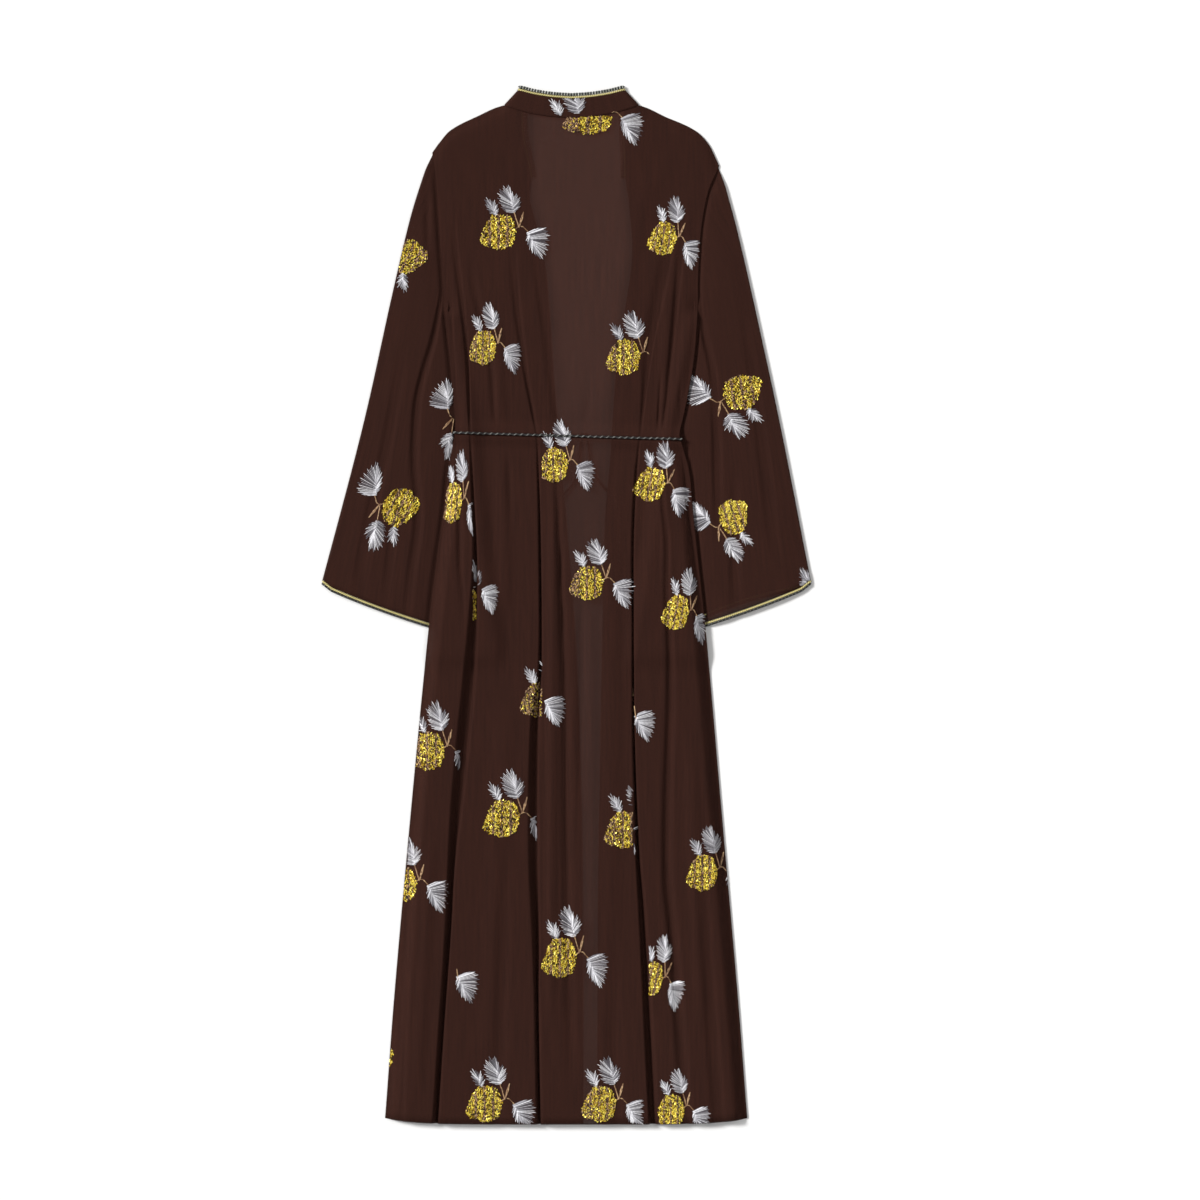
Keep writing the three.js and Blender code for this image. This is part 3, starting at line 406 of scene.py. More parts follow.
def backPlan(column, level):
    chest = body["chestUp"]
    if level <= 1:
        flat = level * chest
        share = columnShare(column, flat)
        x = mix(follow(sides, 1, flat), follow(sides, 2, flat), share)
        return x, rowUp(x, level) + hemCurve(x, level), share
    share = columnShare(column, chest)

    def shoulder(s):
        here = mix(topEdge[0][0], topEdge[-1][0], s)
        return here, follow(topEdge, 1, here)

    x, up = patch(
        lambda s: (mix(sides[11][1], sides[11][2], s), chest), shoulder,
        lambda t: sideEdge(1, t), lambda t: sideEdge(2, t), share, level - 1,
    )
    return x, up, share


# The swells fade out over a fifth of their length at each end.
def swellHeight(x, up):
    height = 0
    for lowX, low, highX, high, half, rise in swells:
        t = (up - low) / (high - low)
        if 0 < t < 1:
            height += rise * hump((x - mix(lowX, highX, t)) / half) * ease(5 * t) * ease(5 * (1 - t))
    return height


def backBase(x, up, share, yoke):
    level = min(up, sides[-2][0])
    width = follow(sides, 2, level) - follow(sides, 1, level)
    armhole = ease(yoke / backForm["armhole"][0]) * ease((1 - yoke) / backForm["armhole"][1])
    edge = mix(backForm["seam"], body["sleeveDepth"] + backForm["overSleeve"], armhole)
    fromSide = ease(min(share, 1 - share) * width / backForm["roll"])
    neckFrom, neckTo, neckRun = backForm["neck"]
    neck = ease((share - neckFrom) / neckRun) * ease((neckTo - share) / neckRun)
    fromTop = mix(ease((1 - yoke) * backForm["yoke"] / backForm["roll"]), 1, neck)
    height = mix(edge, follow(crownRows, 1, up), min(fromSide, fromTop))
    return floorOf(x, up) + height + swellHeight(x, up) * fromSide


def backPoint(column, level):
    x, up, share = backPlan(column, level)
    drop, shift = foldAt("back", x, up)
    base = backBase(x, up, share, max(level - 1, 0))
    at = min(up, backForm["widest"])
    width = follow(sides, 2, at) - follow(sides, 1, at)
    inside = ease(min(share, 1 - share) * width / backForm["foldFade"])
    return place(x + shift * inside, up, max(base - drop * inside, floorOf(x, up) + backForm["clear"]))


weldReach = 0.00001  # metres


# A grid bent to rows of points, with the flat cloth's own coordinates in metres as its map.
def clothSheet(name, points, flatPoints, ring=False):
    rows, columns = len(points), len(points[0])
    deselectAll()
    bpy.ops.mesh.primitive_grid_add(x_subdivisions=columns - 1, y_subdivisions=rows - 1, size=1)
    sheet = bpy.context.object
    sheet.name = sheet.data.name = name
    spots = [
        (round((v.co.y + 0.5) * (rows - 1)), round((v.co.x + 0.5) * (columns - 1)))
        for v in sheet.data.vertices
    ]
    for vertex, (row, column) in zip(sheet.data.vertices, spots):
        vertex.co = points[row][column]
    layer = sheet.data.uv_layers.active
    layer.name = "cloth"
    for loop in sheet.data.loops:
        row, column = spots[loop.vertex_index]
        layer.data[loop.index].uv = flatPoints[row][column]
    if ring:
        bpy.ops.object.mode_set(mode="EDIT")
        bpy.ops.mesh.select_all(action="SELECT")
        bpy.ops.mesh.remove_doubles(threshold=weldReach)
        bpy.ops.object.mode_set(mode="OBJECT")
    bpy.ops.object.shade_smooth()
    applyModifier(sheet, "SOLIDIFY", thickness=body["thread"] * mm, offset=0)
    return sheet


backColumns = spread(
    [0, 0.012, 0.06, 0.105, 0.185, 0.3, 0.375, 0.455, 0.56, 0.645, 0.715, 0.86, 0.97, 1],
    [6, 10, 6, 30, 14, 9, 32, 14, 8, 30, 22, 16, 8],
)
bodyLevels = spread([0, 0.53, 0.6, 0.81, 0.885, 0.97, 1, 1.94, 2], [46, 10, 26, 24, 11, 6, 30, 5])
backPoints = [[backPoint(column, level) for column in backColumns] for level in bodyLevels]
backFlat = [[(point.x, point.y) for point in row] for row in backPoints]
back = clothSheet("back_cloth", backPoints, backFlat)
print("back panel laid")

collar = {
    "fold": 93,  # along from the centre back, where the collar turns to the front
    "depth": 4,  # how far the back's collar stands over the front's
    "foldRun": 14,
    "spread": 0.14,
    "neckTurn": 0.46,  # share of a front's inner edge that is straight, below the neck seam
    "neckHalf": 94,
    "frontInside": (2, 1),  # the fronts stay this far inside the seam: across, up
    "frontDrop": 0.4,  # and this far under the back's top edge
    "seamTuck": 1.8,
    "topEdge": (0.94, 0.12),  # the stand is folded double there: from this share of its height, over this run
    "lean": 0.45,
    "faces": (0.3, -0.35),  # heights of its outer and inner face
    "map": 0.028,  # metres of flat cloth up each face
}
collarRows = [  # along, seam out from centre, seam up, edge out, edge up, share round to the front
    (0, 0, 1409, 0, 1435.5, 0), (30, 30, 1411, 28, 1437.5, 0), (60, 60, 1416, 53, 1441.5, 0),
    (84, 84, 1423, 69, 1445.5, 0), (93, 93.5, 1426, 75, 1446.5, 0), (102, 91.5, 1424.5, 71, 1444, 0),
    (135, 97, 1387, 71, 1391, 0.2), (170, 96, 1350, 69, 1359, 0.6), (200, 85, 1317, 67, 1338, 0.9),
    (222, 70, 1296, 66, 1324, 1),
]
neckStations = [222, 200, 170, 135, 118, 106, 101]


def collarX(sign, along, column):
    out, turned = follow(collarRows, column, along), follow(collarRows, 5, along)
    return body["centreX"] + sign * out * (1 + sign * collar["spread"] * turned)


def innerEdge(sign, t):
    edge = 1 if sign < 0 else 2
    if t <= collar["neckTurn"]:
        up = mix(body["chestUp"], opening[-1][0], t / collar["neckTurn"])
        return follow(opening, edge, up), up
    spot = (t - collar["neckTurn"]) / (1 - collar["neckTurn"]) * (len(neckStations) - 1)
    i = min(int(spot), len(neckStations) - 2)
    inside, above = collar["frontInside"]
    ends = [
        (collarX(sign, a, 1) - sign * inside, follow(collarRows, 2, a) + above) for a in neckStations[i:i + 2]
    ]
    return tuple(mix(a, b, spot - i) for a, b in zip(*ends))


# Columns crowd together where a front climbs over the sleeve's edge.
frontStops = [0, 0.3, 0.45, 0.6, 1]
frontGaps = [6, 5, 5, 12]


def frontX(sign, share, up):
    edge, side = (1, "left") if sign < 0 else (2, "right")
    outer, inner = follow(sides, edge, up), follow(opening, edge, up)
    sleeve = (sleeveInner(side, sleeveDown(up))[0] - outer) / (inner - outer)
    step = -sign / (inner - outer)
    clear, reach = liftRise["clear"], liftRise["side"]
    climb = zip((clear, (clear + reach) / 2, reach), (0.02, 0.05, 0.08))
    shares = [0] + [max(sleeve + off * step, least) for off, least in climb] + [1]
    return mix(outer, inner, between(frontStops, shares, share))


def frontPoint(sign, share, level):
    chest = body["chestUp"]
    if level <= 1:
        x = frontX(sign, share, level * chest)
        up = rowUp(x, level)
        return place(x, up + hemCurve(x, level), floorOf(x, up))
    edge = 1 if sign < 0 else 2
    neck = body["centreX"] + sign * collar["neckHalf"]

    def shoulder(s):
        here = mix(sides[-1][edge], neck, s)
        return here, follow(topEdge, 1, here) - collar["frontDrop"] * s

    x, up = patch(
        lambda s: (frontX(sign, s, chest), chest), shoulder,
        lambda t: sideEdge(edge, t), lambda t: innerEdge(sign, t), share, level - 1,
    )
    return place(x, up, floorOf(x, up))


def frontSheet(name, sign):
    shares = spread(frontStops, frontGaps)
    if sign > 0:
        shares.reverse()
    points = [[frontPoint(sign, share, level) for share in shares] for level in bodyLevels]
    flat = [[(point.x, point.y) for point in row] for row in points]
    return clothSheet(name, points, flat)


frontLeft = frontSheet("front_left_cloth", -1)
frontRight = frontSheet("front_right_cloth", 1)
print("fronts laid")


sleeveForm = {
    "wide": (215, 250),  # across the flat tube, at the armhole and at the hem
    "bow": (5, 0.8),  # how far the hem bows down; under 1 sets that towards the outer corner
    "corner": (4, 16),  # rise and reach of the hem's outer corner
    "hemPower": 6,  # the higher, the nearer to the hem its curves stay
    "tuck": (5, 0.05),  # how far the sleeve's head goes under the body, and over what share down
    "seam": (1.1, 0.25, 0.08),  # past the armhole's edge, and the shares down and across that follow it
    "armpit": (6, 0.2, 0.88, 0.1),  # tuck, share down, and from which share across over which run
    "tip": (4, 5, 0.05, 0.1),  # at the shoulder's tip: tuck, rise, shares down and across
    "puff": (1.8, 30, 0.2, 0.1),  # rise of the upper layer, and its runs off the body, across and down
    "groove": (2.6, 7, 1),  # depth, half width and place of the valley beside the body
    "foldRun": (8, 16, 0.12),  # folds fade in from under the body over this, and over this share across
    "head": (0.9, 0.04),  # how far the sleeve's head is pressed down, and over what share down
    "tipHeight": (0.35, 0.05, 0.15),  # height at the shoulder's tip, shares down and across
    "least": 0.7,  # height of the upper layer over the lower
    "middleWide": 232,
    "edgeRoom": 1.2,  # finer columns go this much past the rounded edge
    "map": (0.48, 0.6),  # metres of flat cloth, all round and down
}


def sleevePlan(side, across, down):
    cut, form = sleeves[side], sleeveForm
    outer = follow(cut["outer"], 1, down), follow(cut["outer"], 2, down)
    inner = sleeveInner(side, down)
    up = mix(outer[1], inner[1], across)
    chest, tip = body["chestUp"], tipUp[cut["edge"]]
    armhole = sideEdge(cut["edge"], clamp((up - chest) / (tip - chest)))[0]
    straight = mix(outer[0], inner[0], across)
    past, seamDown, seamAcross = form["seam"]
    nearSeam = (1 - ease(down / seamDown)) * ease(across / seamAcross) * ease((1 - across) / seamAcross)
    pit, pitDown, pitFrom, pitRun = form["armpit"]
    armpit = pit * (1 - ease(down / pitDown)) * ease((across - pitFrom) / pitRun)
    tipTuck, tipRise, tipDown, tipAcross = form["tip"]
    atTip = (1 - ease(down / tipDown)) * (1 - ease(across / tipAcross))
    tuck = form["tuck"][0] * (1 - ease(down / form["tuck"][1])) * nearSeam + armpit + tipTuck * atTip
    up += tipRise * atTip
    x = straight + (armhole + cut["sign"] * past - straight) * nearSeam - cut["sign"] * tuck
    corner = form["corner"][0] * ease(1 - across * form["wide"][1] / form["corner"][1])
    bow = form["bow"][0] * math.sin(math.pi * across ** form["bow"][1])
    return x, up + (corner - bow) * down ** form["hemPower"]


def sleevePoint(side, turn, down):
    cut, form = sleeves[side], sleeveForm
    upper = turn < 0.5
    t = turn * 2 if upper else 2 - turn * 2
    radius = body["sleeveDepth"] / 2
    x, up = sleevePlan(side, t, down)
    fromEdge = min(t, 1 - t) * mix(*form["wide"], down)
    roll = math.sqrt(max(1 - (1 - fromEdge / radius) ** 2, 0)) if fromEdge < radius else 1
    base = body["cloth"] / 2
    if not upper:  # the under layer's hem may lie shorter
        short = cut["shortUnder"] * down ** form["hemPower"] * math.sin(math.pi * t) * (1 - 0.5 * t)
        return place(x, up + short, base + radius - radius * roll)
    offBody = cut["sign"] * (x - follow(sides, cut["edge"], up))
    puff, offRun, acrossRun, downRun = form["puff"]
    puff *= ease(offBody / offRun) * ease(t / acrossRun) * ease(down / downRun)
    groove, grooveHalf, grooveAt = form["groove"]
    under, foldRun, foldAcross = form["foldRun"]
    z = base + radius + radius * roll + puff
    z -= form["head"][0] * (1 - ease(down / form["head"][1]))
    z -= groove * hump((offBody - grooveAt) / grooveHalf)
    z -= foldAt(side, x, up)[0] * ease((offBody + under) / foldRun) * ease(t / foldAcross)
    z = max(z, base + form["least"]) if fromEdge > radius else z
    tipHeight, tipDown, tipAcross = form["tipHeight"]
    return place(x, up, mix(z, base + tipHeight, (1 - ease(down / tipDown)) * (1 - ease(t / tipAcross))))


# The rounded edge, as a share of the tube's middle width.
edgeShare = body["sleeveDepth"] / 2 / sleeveForm["middleWide"] * sleeveForm["edgeRoom"]
halfTurn = spread([0, edgeShare, 0.06, 0.72, 1 - edgeShare, 1], [4, 4, 62, 8, 4])
lowTurn = spread([1, 1 - edgeShare, 0.06, edgeShare, 0], [4, 24, 4, 4])
sleeveTurns = [t / 2 for t in halfTurn[:-1]] + [1 - t / 2 for t in lowTurn]
sleeveDowns = spread([0, 0.05, 0.9, 1], [4, 58, 9])
fullTurn = 0.99999  # a whole turn would start the tube again


def sleeveSheet(name, side):
    downs = sleeveDowns[::-1] if side == "left" else sleeveDowns
    points = [[sleevePoint(side, min(t, fullTurn), down) for t in sleeveTurns] for down in downs]
    for row in points:
        row[-1] = row[0].copy()
    mapRound, mapDown = sleeveForm["map"]
    flat = [[(t * mapRound, -down * mapDown) for t in sleeveTurns] for down in downs]
    return clothSheet(name, points, flat, ring=True)


sleeveLeft = sleeveSheet("sleeve_left_cloth", "left")
sleeveRight = sleeveSheet("sleeve_right_cloth", "right")
print("sleeves laid")


def collarPoint(along, rise):
    sign, out = (1 if along > 0 else -1), abs(along)
    towardsBack = ease((collar["fold"] + collar["foldRun"] / 2 - out) / collar["foldRun"])
    z = body["cloth"] / 2 + collar["depth"] * towardsBack
    seamUp = follow(collarRows, 2, out) - (collar["seamTuck"] if out < collar["fold"] else 0)
    edgeFrom, edgeRun = collar["topEdge"]
    inner = ease((rise - edgeFrom) / edgeRun)
    rise = 1 - abs(1 - rise)
    return place(
        mix(collarX(sign, out, 1), collarX(sign, out, 3), rise),
        mix(seamUp, follow(collarRows, 4, out), rise),
        z + collar["lean"] * (1 - rise) + mix(*collar["faces"], inner),
    )


collarStations = spread([0, 80, 104, 222], [24, 22, 30])
collarStations = [-a for a in collarStations[:0:-1]] + collarStations
collarRises = spread([0, 0.9, 1.1, 2], [9, 4, 9])
collarPoints = [[collarPoint(along, rise) for along in collarStations] for rise in collarRises]
collarFlat = [[(along * mm, rise * collar["map"]) for along in collarStations] for rise in collarRises]
collarCloth = clothSheet("collar_cloth", collarPoints, collarFlat)
print("collar laid")

finishes = {
    "georgette": {
        # how much the painted backlight brightens the back where it lies alone
        "dark": "#34201B", "light": "#40261F", "rough": 0.85, "specular": 0.03, "alpha": 0.72, "glow": 0.36,
        "streaks": (330, 14, 1), "crinkle": 620.0,  # per metre
    },
    # the gold's light end gives the painted glints of the fruit's brightest stitches
    "goldThread": {"dark": "#3A2C05", "mid": "#C49C0C", "light": "#FFEB62", "rough": 0.32, "metal": 0.3},
    "tanThread": {"dark": "#35241A", "mid": "#7C593C", "light": "#BE9C74", "rough": 0.5, "metal": 0.1},
    "silverThread": {"dark": "#66636A", "mid": "#BDBBC0", "light": "#F7F6F9", "rough": 0.5, "metal": 0.1},
    "blackThread": {"dark": "#0B0A0A", "mid": "#110F0F", "light": "#191716", "rough": 0.5, "metal": 0.0},
    "palePiping": {"dark": "#5A4E22", "mid": "#A6964E", "light": "#EBE1A4", "rough": 0.4, "metal": 0.25},
    "greyTinsel": {"dark": "#70746C", "mid": "#B3B6AA", "light": "#F0F1EA", "rough": 0.4, "metal": 0.2},
}


def linear(hexColour):
    values = [int(hexColour[i:i + 2], 16) / 255 for i in (1, 3, 5)]
    return [v / 12.92 if v <= 0.04045 else ((v + 0.055) / 1.055) ** 2.4 for v in values] + [1]


# A shader node with its settings and links, and a ramp's stops as (position, colour). A link's source is a
# socket, or a node whose first output is meant.
def addNode(tree, kind, settings=None, links=None, stops=()):
    node = tree.nodes.new("ShaderNode" + kind)
    for name, value in (settings or {}).items():
        if isinstance(name, int) or name in node.inputs:
            node.inputs[name].default_value = value
        else:
            setattr(node, name, value)
    for name, source in (links or {}).items():
        if isinstance(source, bpy.types.Node):
            source = source.outputs[0]
        tree.links.new(source, node.inputs[name])
    if stops:
        elements = node.color_ramp.elements
        while len(elements) < len(stops):
            elements.new(0.5)
        for element, (position, colour) in zip(elements, stops):
            element.position = position
            element.color = linear(colour)
    return node


def newMaterial(name):
    material = bpy.data.materials.new(name)
    material.use_nodes = True
    tree = material.node_tree
    tree.nodes.clear()
    return material, tree


# Polyester crepe georgette: hard-twisted yarn that gives a dry, finely crinkled, half-sheer cloth.
def georgette():
    values = finishes["georgette"]
    material, tree = newMaterial("crepe_georgette")
    flatCloth = addNode(tree, "UVMap", {"uv_map": "cloth"})
    # warp streaks 3 mm apart and a crinkle of 1.6 mm: the 0.3 mm yarns are too fine to show
    streakPlace = addNode(tree, "Mapping", {"Scale": values["streaks"]}, {"Vector": flatCloth})
    streaks = addNode(
        tree, "TexNoise", {"Scale": 1.0, "Detail": 3.0, "Roughness": 0.6}, {"Vector": streakPlace}
    )
    crinkle = addNode(
        tree, "TexNoise", {"Scale": values["crinkle"], "Detail": 2.0, "Roughness": 0.7}, {"Vector": flatCloth}
    )
    both = addNode(tree, "Math", {"operation": "ADD"}, {0: streaks, 1: crinkle})
    half = addNode(tree, "Math", {"operation": "MULTIPLY", 1: 0.5}, {0: both})
    bump = addNode(tree, "Bump", {"Strength": 0.2, "Distance": 0.0006}, {"Height": half})
    # painted backlight: where the back lies alone its colour is brightened, standing in for light that comes
    # back up through one layer and takes on the dye's colour, which plain alpha leaves out
    backlitShare = addNode(tree, "Attribute", {"attribute_name": "glow"}).outputs["Fac"]
    backlitBrightening = addNode(tree, "Math", {"operation": "MULTIPLY_ADD", 1: values["glow"], 2: 1.0}, {0: backlitShare})
    stops = [(0.35, values["dark"]), (0.65, values["light"])]
    dyed = addNode(tree, "ValToRGB", {}, {"Fac": half}, stops)
    lit = addNode(tree, "HueSaturation", {}, {"Color": dyed, "Value": backlitBrightening})
    shader = addNode(
        tree, "BsdfPrincipled",
        {"Roughness": values["rough"], "Specular IOR Level": values["specular"], "Alpha": values["alpha"]},
        {"Base Color": lit, "Normal": bump},
    )
    addNode(tree, "OutputMaterial", {}, {"Surface": shader})
    return material


# Wound and metallised threads: each stitch has its own shade, and fine twist lines. On the gold fruit
# stitches and the wound strands that shade holds painted highlights and painted shade.
def threadMaterial(name):
    values = finishes[name]
    material, tree = newMaterial(name)
    shade = addNode(tree, "Attribute", {"attribute_name": "shade"}).outputs["Fac"]
    where = addNode(tree, "TexCoord").outputs["Object"]
    twist = addNode(tree, "TexNoise", {"Scale": 900.0, "Detail": 1.0}, {"Vector": where})  # 1.1 mm apart
    both = addNode(tree, "Math", {"operation": "MULTIPLY_ADD", 1: 0.3}, {0: twist, 2: shade})
    bump = addNode(tree, "Bump", {"Strength": 0.3, "Distance": 0.0003}, {"Height": twist})
    stops = [(0.15, values["dark"]), (0.6, values["mid"]), (1.0, values["light"])]
    colour = addNode(tree, "ValToRGB", {}, {"Fac": both}, stops)
    shader = addNode(
        tree, "BsdfPrincipled", {"Roughness": values["rough"], "Metallic": values["metal"]},
        {"Base Color": colour, "Normal": bump},
    )
    addNode(tree, "OutputMaterial", {}, {"Surface": shader})
    return material


# Painted backlight on the back between the fronts, where it lies alone: its colour is brightened a little in
# the skirt, and fully at the chest.
glow = {"edge": 16, "skirtUp": 860, "chestUp": 1100, "skirt": 0.2}


def glowAt(x, up):
    inside = min(x - follow(opening, 1, up), follow(opening, 2, up) - x)
    rise = (up - glow["skirtUp"]) / (glow["chestUp"] - glow["skirtUp"])
    return ease(inside / glow["edge"]) * mix(glow["skirt"], 1, ease(rise))


crepe = georgette()
threads = {name: threadMaterial(name) for name in finishes if name != "georgette"}
for sheet in (back, frontLeft, frontRight, sleeveLeft, sleeveRight, collarCloth):
    sheet.data.materials.clear()
    sheet.data.materials.append(crepe)
    # the painted backlight is stored on the back only; the other sheets keep 0
    attribute = sheet.data.attributes.new("glow", "FLOAT", "POINT")
    if sheet is back:
        spots = [(v.co.x / mm - shiftX, v.co.y / mm - shiftY) for v in sheet.data.vertices]
        attribute.data.foreach_set("value", [glowAt(*spot) for spot in spots])
print("finishes made")


# The same path with points a step apart.
def evenPath(points, step, closed=False):
    loop = points + [points[0]] if closed else points
    lengths = [0.0]
    for a, b in zip(loop, loop[1:]):
        lengths.append(lengths[-1] + (b - a).length)
    count = max(2, round(lengths[-1] / step))
    found, k = [], 0
    for i in range(count if closed else count + 1):
        at = lengths[-1] * i / count
        while k < len(lengths) - 2 and lengths[k + 1] < at:
            k += 1
        found.append(loop[k].lerp(loop[k + 1], (at - lengths[k]) / max(lengths[k + 1] - lengths[k], 1e-9)))
    return found


# One stitch is modelled once, 1 long, 1 wide and 1 high, and copied by the hundred into each piece.
deselectAll()
bpy.ops.mesh.primitive_uv_sphere_add(segments=4, ring_count=3, radius=0.5, rotation=(0, math.pi / 2, 0))
bpy.ops.object.transform_apply(location=False, rotation=True, scale=False)
stitchModel = bpy.context.object
stitchCorners = np.array([list(v.co) for v in stitchModel.data.vertices])
stitchFaces = [list(face.vertices) for face in stitchModel.data.polygons]
bpy.data.objects.remove(stitchModel)


def newPiece(name, corners, faces, shades, finish, smooth):
    mesh = bpy.data.meshes.new(name)
    mesh.from_pydata(corners, [], faces)
    mesh.update()
    attribute = mesh.attributes.new("shade", "FLOAT", "POINT")
    attribute.data.foreach_set("value", shades)
    mesh.polygons.foreach_set("use_smooth", [smooth] * len(mesh.polygons))
    mesh.materials.append(threads[finish])
    piece = bpy.data.objects.new(name, mesh)
    bpy.context.scene.collection.objects.link(piece)
    return piece


# Joins stitches, each (start, end, width, height, shade) in metres, into one piece.
def stitchPiece(name, stitches, finish, tilt=0.0, smooth=True):
    corners, faces, shades = [], [], []
    for start, end, width, height, shade in stitches:
        along = end - start
        side = Vector((-along.y, along.x, 0))
        side = side.normalized() if side.length > 1e-9 else Vector((1, 0, 0))
        out = along.cross(side).normalized()
        turn = random.uniform(-tilt, tilt)
        cos, sin = math.cos(turn), math.sin(turn)
        axes = np.array([along, (side * cos + out * sin) * width, (out * cos - side * sin) * height])
        base = len(corners) * len(stitchCorners)
        corners.append(stitchCorners @ axes + np.array((start + end) / 2))
        faces += [[base + k for k in face] for face in stitchFaces]
        shades += [shade] * len(stitchCorners)
    return newPiece(name, np.concatenate(corners).tolist(), faces, shades, finish, smooth)


def treeOf(*sheets):
    corners, faces = [], []
    for sheet in sheets:
        base = len(corners)
        corners += [v.co.copy() for v in sheet.data.vertices]
        faces += [[base + k for k in face.vertices] for face in sheet.data.polygons]
    return BVHTree.FromPolygons(corners, faces)


# A sprig of embroidery: a lemon, three leaves and their stalks, in millimetres from the middle of the lemon.
sprig = {
    "fruit": (2, 0, 21.8, 24.6, 2.25),  # middle, half sizes, squareness
    "tip": (203, 48, 0.34),  # the blossom end: direction, spread in degrees, and how far it juts
    "wave": (0.025, 7, 0.02, 13),  # two waves of the outline: share of its size, and how many all round
    "rows": (-31.0, 28, 1.75),  # from, to and gap, across
    "upright": (-28.0, 28),  # from and to, up each row
    "step": (1.5, 2.4),  # from one stitch to the next
    "waver": 0.8,
    "lean": (12, 66),  # degrees from upright
    "stitch": (3.4, 1.6, 1.4),  # length, width, height
    "tanBands": [(-15, -11.5), (-1.5, 1.5), (10.5, 14)],
    "tanInBand": 0.88,  # share of tan stitches
    "tanElsewhere": (0.03, 0.16),
    "tanIfDull": 0.6,  # more, where a fruit is dull
    "bareRun": (-7, 8),  # gold may thin out from here to the left, over this run
    # rib from x, y to x, y; then each side's outline as (share of the rib, distance from it)
    "leaves": {
        "a": (
            (-3, 22, -17, 47), [(0.1, 3), (0.4, 5.5), (0.7, 5), (0.9, 3), (1, 0)],
            [(0.1, 4), (0.3, 6), (0.5, 7.5), (0.7, 6.5), (0.76, 2)],
        ),
        "b": (
            (21.5, 25, 14, 63), [(0.08, 8), (0.27, 14), (0.55, 16), (0.84, 15), (1, 7), (0.98, 0)],
            [(0.1, 5), (0.3, 10), (0.48, 11), (0.62, 8.5), (0.66, 4), (0.9, 1)],
        ),
        "c": (
            (40, 0, 59, -36), [(0.04, 13), (0.18, 24), (0.45, 22.5), (0.7, 15), (0.87, 9), (1, 1)],
            [(0.1, 3.5), (0.4, 7.5), (0.7, 6.5), (0.9, 3), (1, 0)],
        ),
    },
    "lead": 0.52,  # a stitch starts this share of its end's way up the rib nearer the base
    "tooth": 4.2,  # how far the longest stitch of each group of three sticks out
    "leafGap": 2.15,  # between the outer ends
    "longest": 6,  # a longer stitch is laid in pieces that follow the cloth
    "leafStitch": (1.1, 0.8),  # width, height
    "stalkStitch": (2.6, 1.1),  # length, height
    "stalkWide": 1.9,
    "stalks": [(21, 2, 29, 8), (28, 7, 22, 25), (28, 8, 34, 7), (34, 7, 41, 0)],
    "bud": (29, 8, 34.5, 27),  # a narrow leaf of tan thread
    "budForm": (0.55, 0.5, 2.0, (-1.1, 0.9)),  # where its halves end and start, stitch width, its two sides
    "longStalk": (36, 44, 41, 1),
}


def insideFruit(x, y):
    middleX, middleY, halfX, halfY, square = sprig["fruit"]
    tipTurn, tipSpread, tipOut = sprig["tip"]
    turn = math.atan2(y - middleY, x - middleX)
    off = (math.degrees(turn) - tipTurn + 180) % 360 - 180
    slow, slowCount, quick, quickCount = sprig["wave"]
    wave = 1 + slow * math.sin(slowCount * turn + 1) + quick * math.sin(quickCount * turn)
    wave += tipOut * hump(off / tipSpread)
    blob = (abs((x - middleX) / halfX) ** square + abs((y - middleY) / halfY) ** square) ** (1 / square)
    return blob < wave


# Upright rows of short crossing stitches, gold in bands with tan ones between, dull and bright by turns: the
# brightest are painted glints off the metal thread and the darkest painted shade in the gaps between them.
def fruitStitches(dull):
    found = []
    tanShare = random.uniform(*sprig["tanElsewhere"]) + (sprig["tanIfDull"] if dull else 0)
    bareShare = random.choice((0.0, 0.1, 0.5, 0.85))
    length, width, height = sprig["stitch"]
    x, lastX, gap = sprig["rows"]
    bareFrom, bareRun = sprig["bareRun"]
    while x < lastX:
        inBand = any(low <= x <= high for low, high in sprig["tanBands"])
        y = sprig["upright"][0] + random.uniform(0, 2)
        while y < sprig["upright"][1]:
            px, py = x + random.uniform(-sprig["waver"], sprig["waver"]), y
            y += random.uniform(*sprig["step"])
            if not insideFruit(px, py):
                continue
            lean = math.radians(90 + random.choice((-1, 1)) * random.uniform(*sprig["lean"]))
            half = length / 2 * random.uniform(0.7, 1.15)
            dx, dy = half * math.cos(lean), half * math.sin(lean)
            bare = bareShare * clamp((bareFrom - px) / bareRun)
            tanChance = sprig["tanInBand"] if inBand else max(tanShare, bare)
            finish = "tanThread" if random.random() < tanChance else "goldThread"
            # painted highlight and shade: the top shades stand in for glints, the lowest for shaded gaps, the
            # rest is random tone
            bright = random.choice((0.0, 0.2, 0.5, 0.6, 0.85, 1.0)) + random.uniform(-0.08, 0.08)
            found.append((px - dx, py - dy, px + dx, py + dy, width, height, clamp(bright), finish))
        x += gap
    return found


# Satin stitches that fan forwards from the rib to each side's outline and end in ragged teeth.
def leafStitches(rib, *outlines):
    found = []
    baseX, baseY, tipX, tipY = rib
    length = math.hypot(tipX - baseX, tipY - baseY)
    alongX, alongY = (tipX - baseX) / length, (tipY - baseY) / length
    width, height = sprig["leafStitch"]
    for side, outline in zip((1, -1), outlines):
        corners = [Vector((share * length, out, 0)) for share, out in outline]
        for k, end in enumerate(evenPath(corners, sprig["leafGap"])):
            start = Vector((end.x * (1 - sprig["lead"]), -1.0, 0))
            ragged = sprig["tooth"] * ((k % 3) / 2 - 0.4) + random.uniform(-0.8, 0.8)
            end += (end - start).normalized() * ragged
            turned = []
            for spot in (start, end):
                turned += [
                    baseX + alongX * spot.x - alongY * side * spot.y,
                    baseY + alongY * spot.x + alongX * side * spot.y,
                ]
            shade = clamp(random.choice((0.1, 0.45, 0.8)) + random.uniform(-0.1, 0.1))
            found.append((*turned, width, height, shade, "silverThread"))
    return found


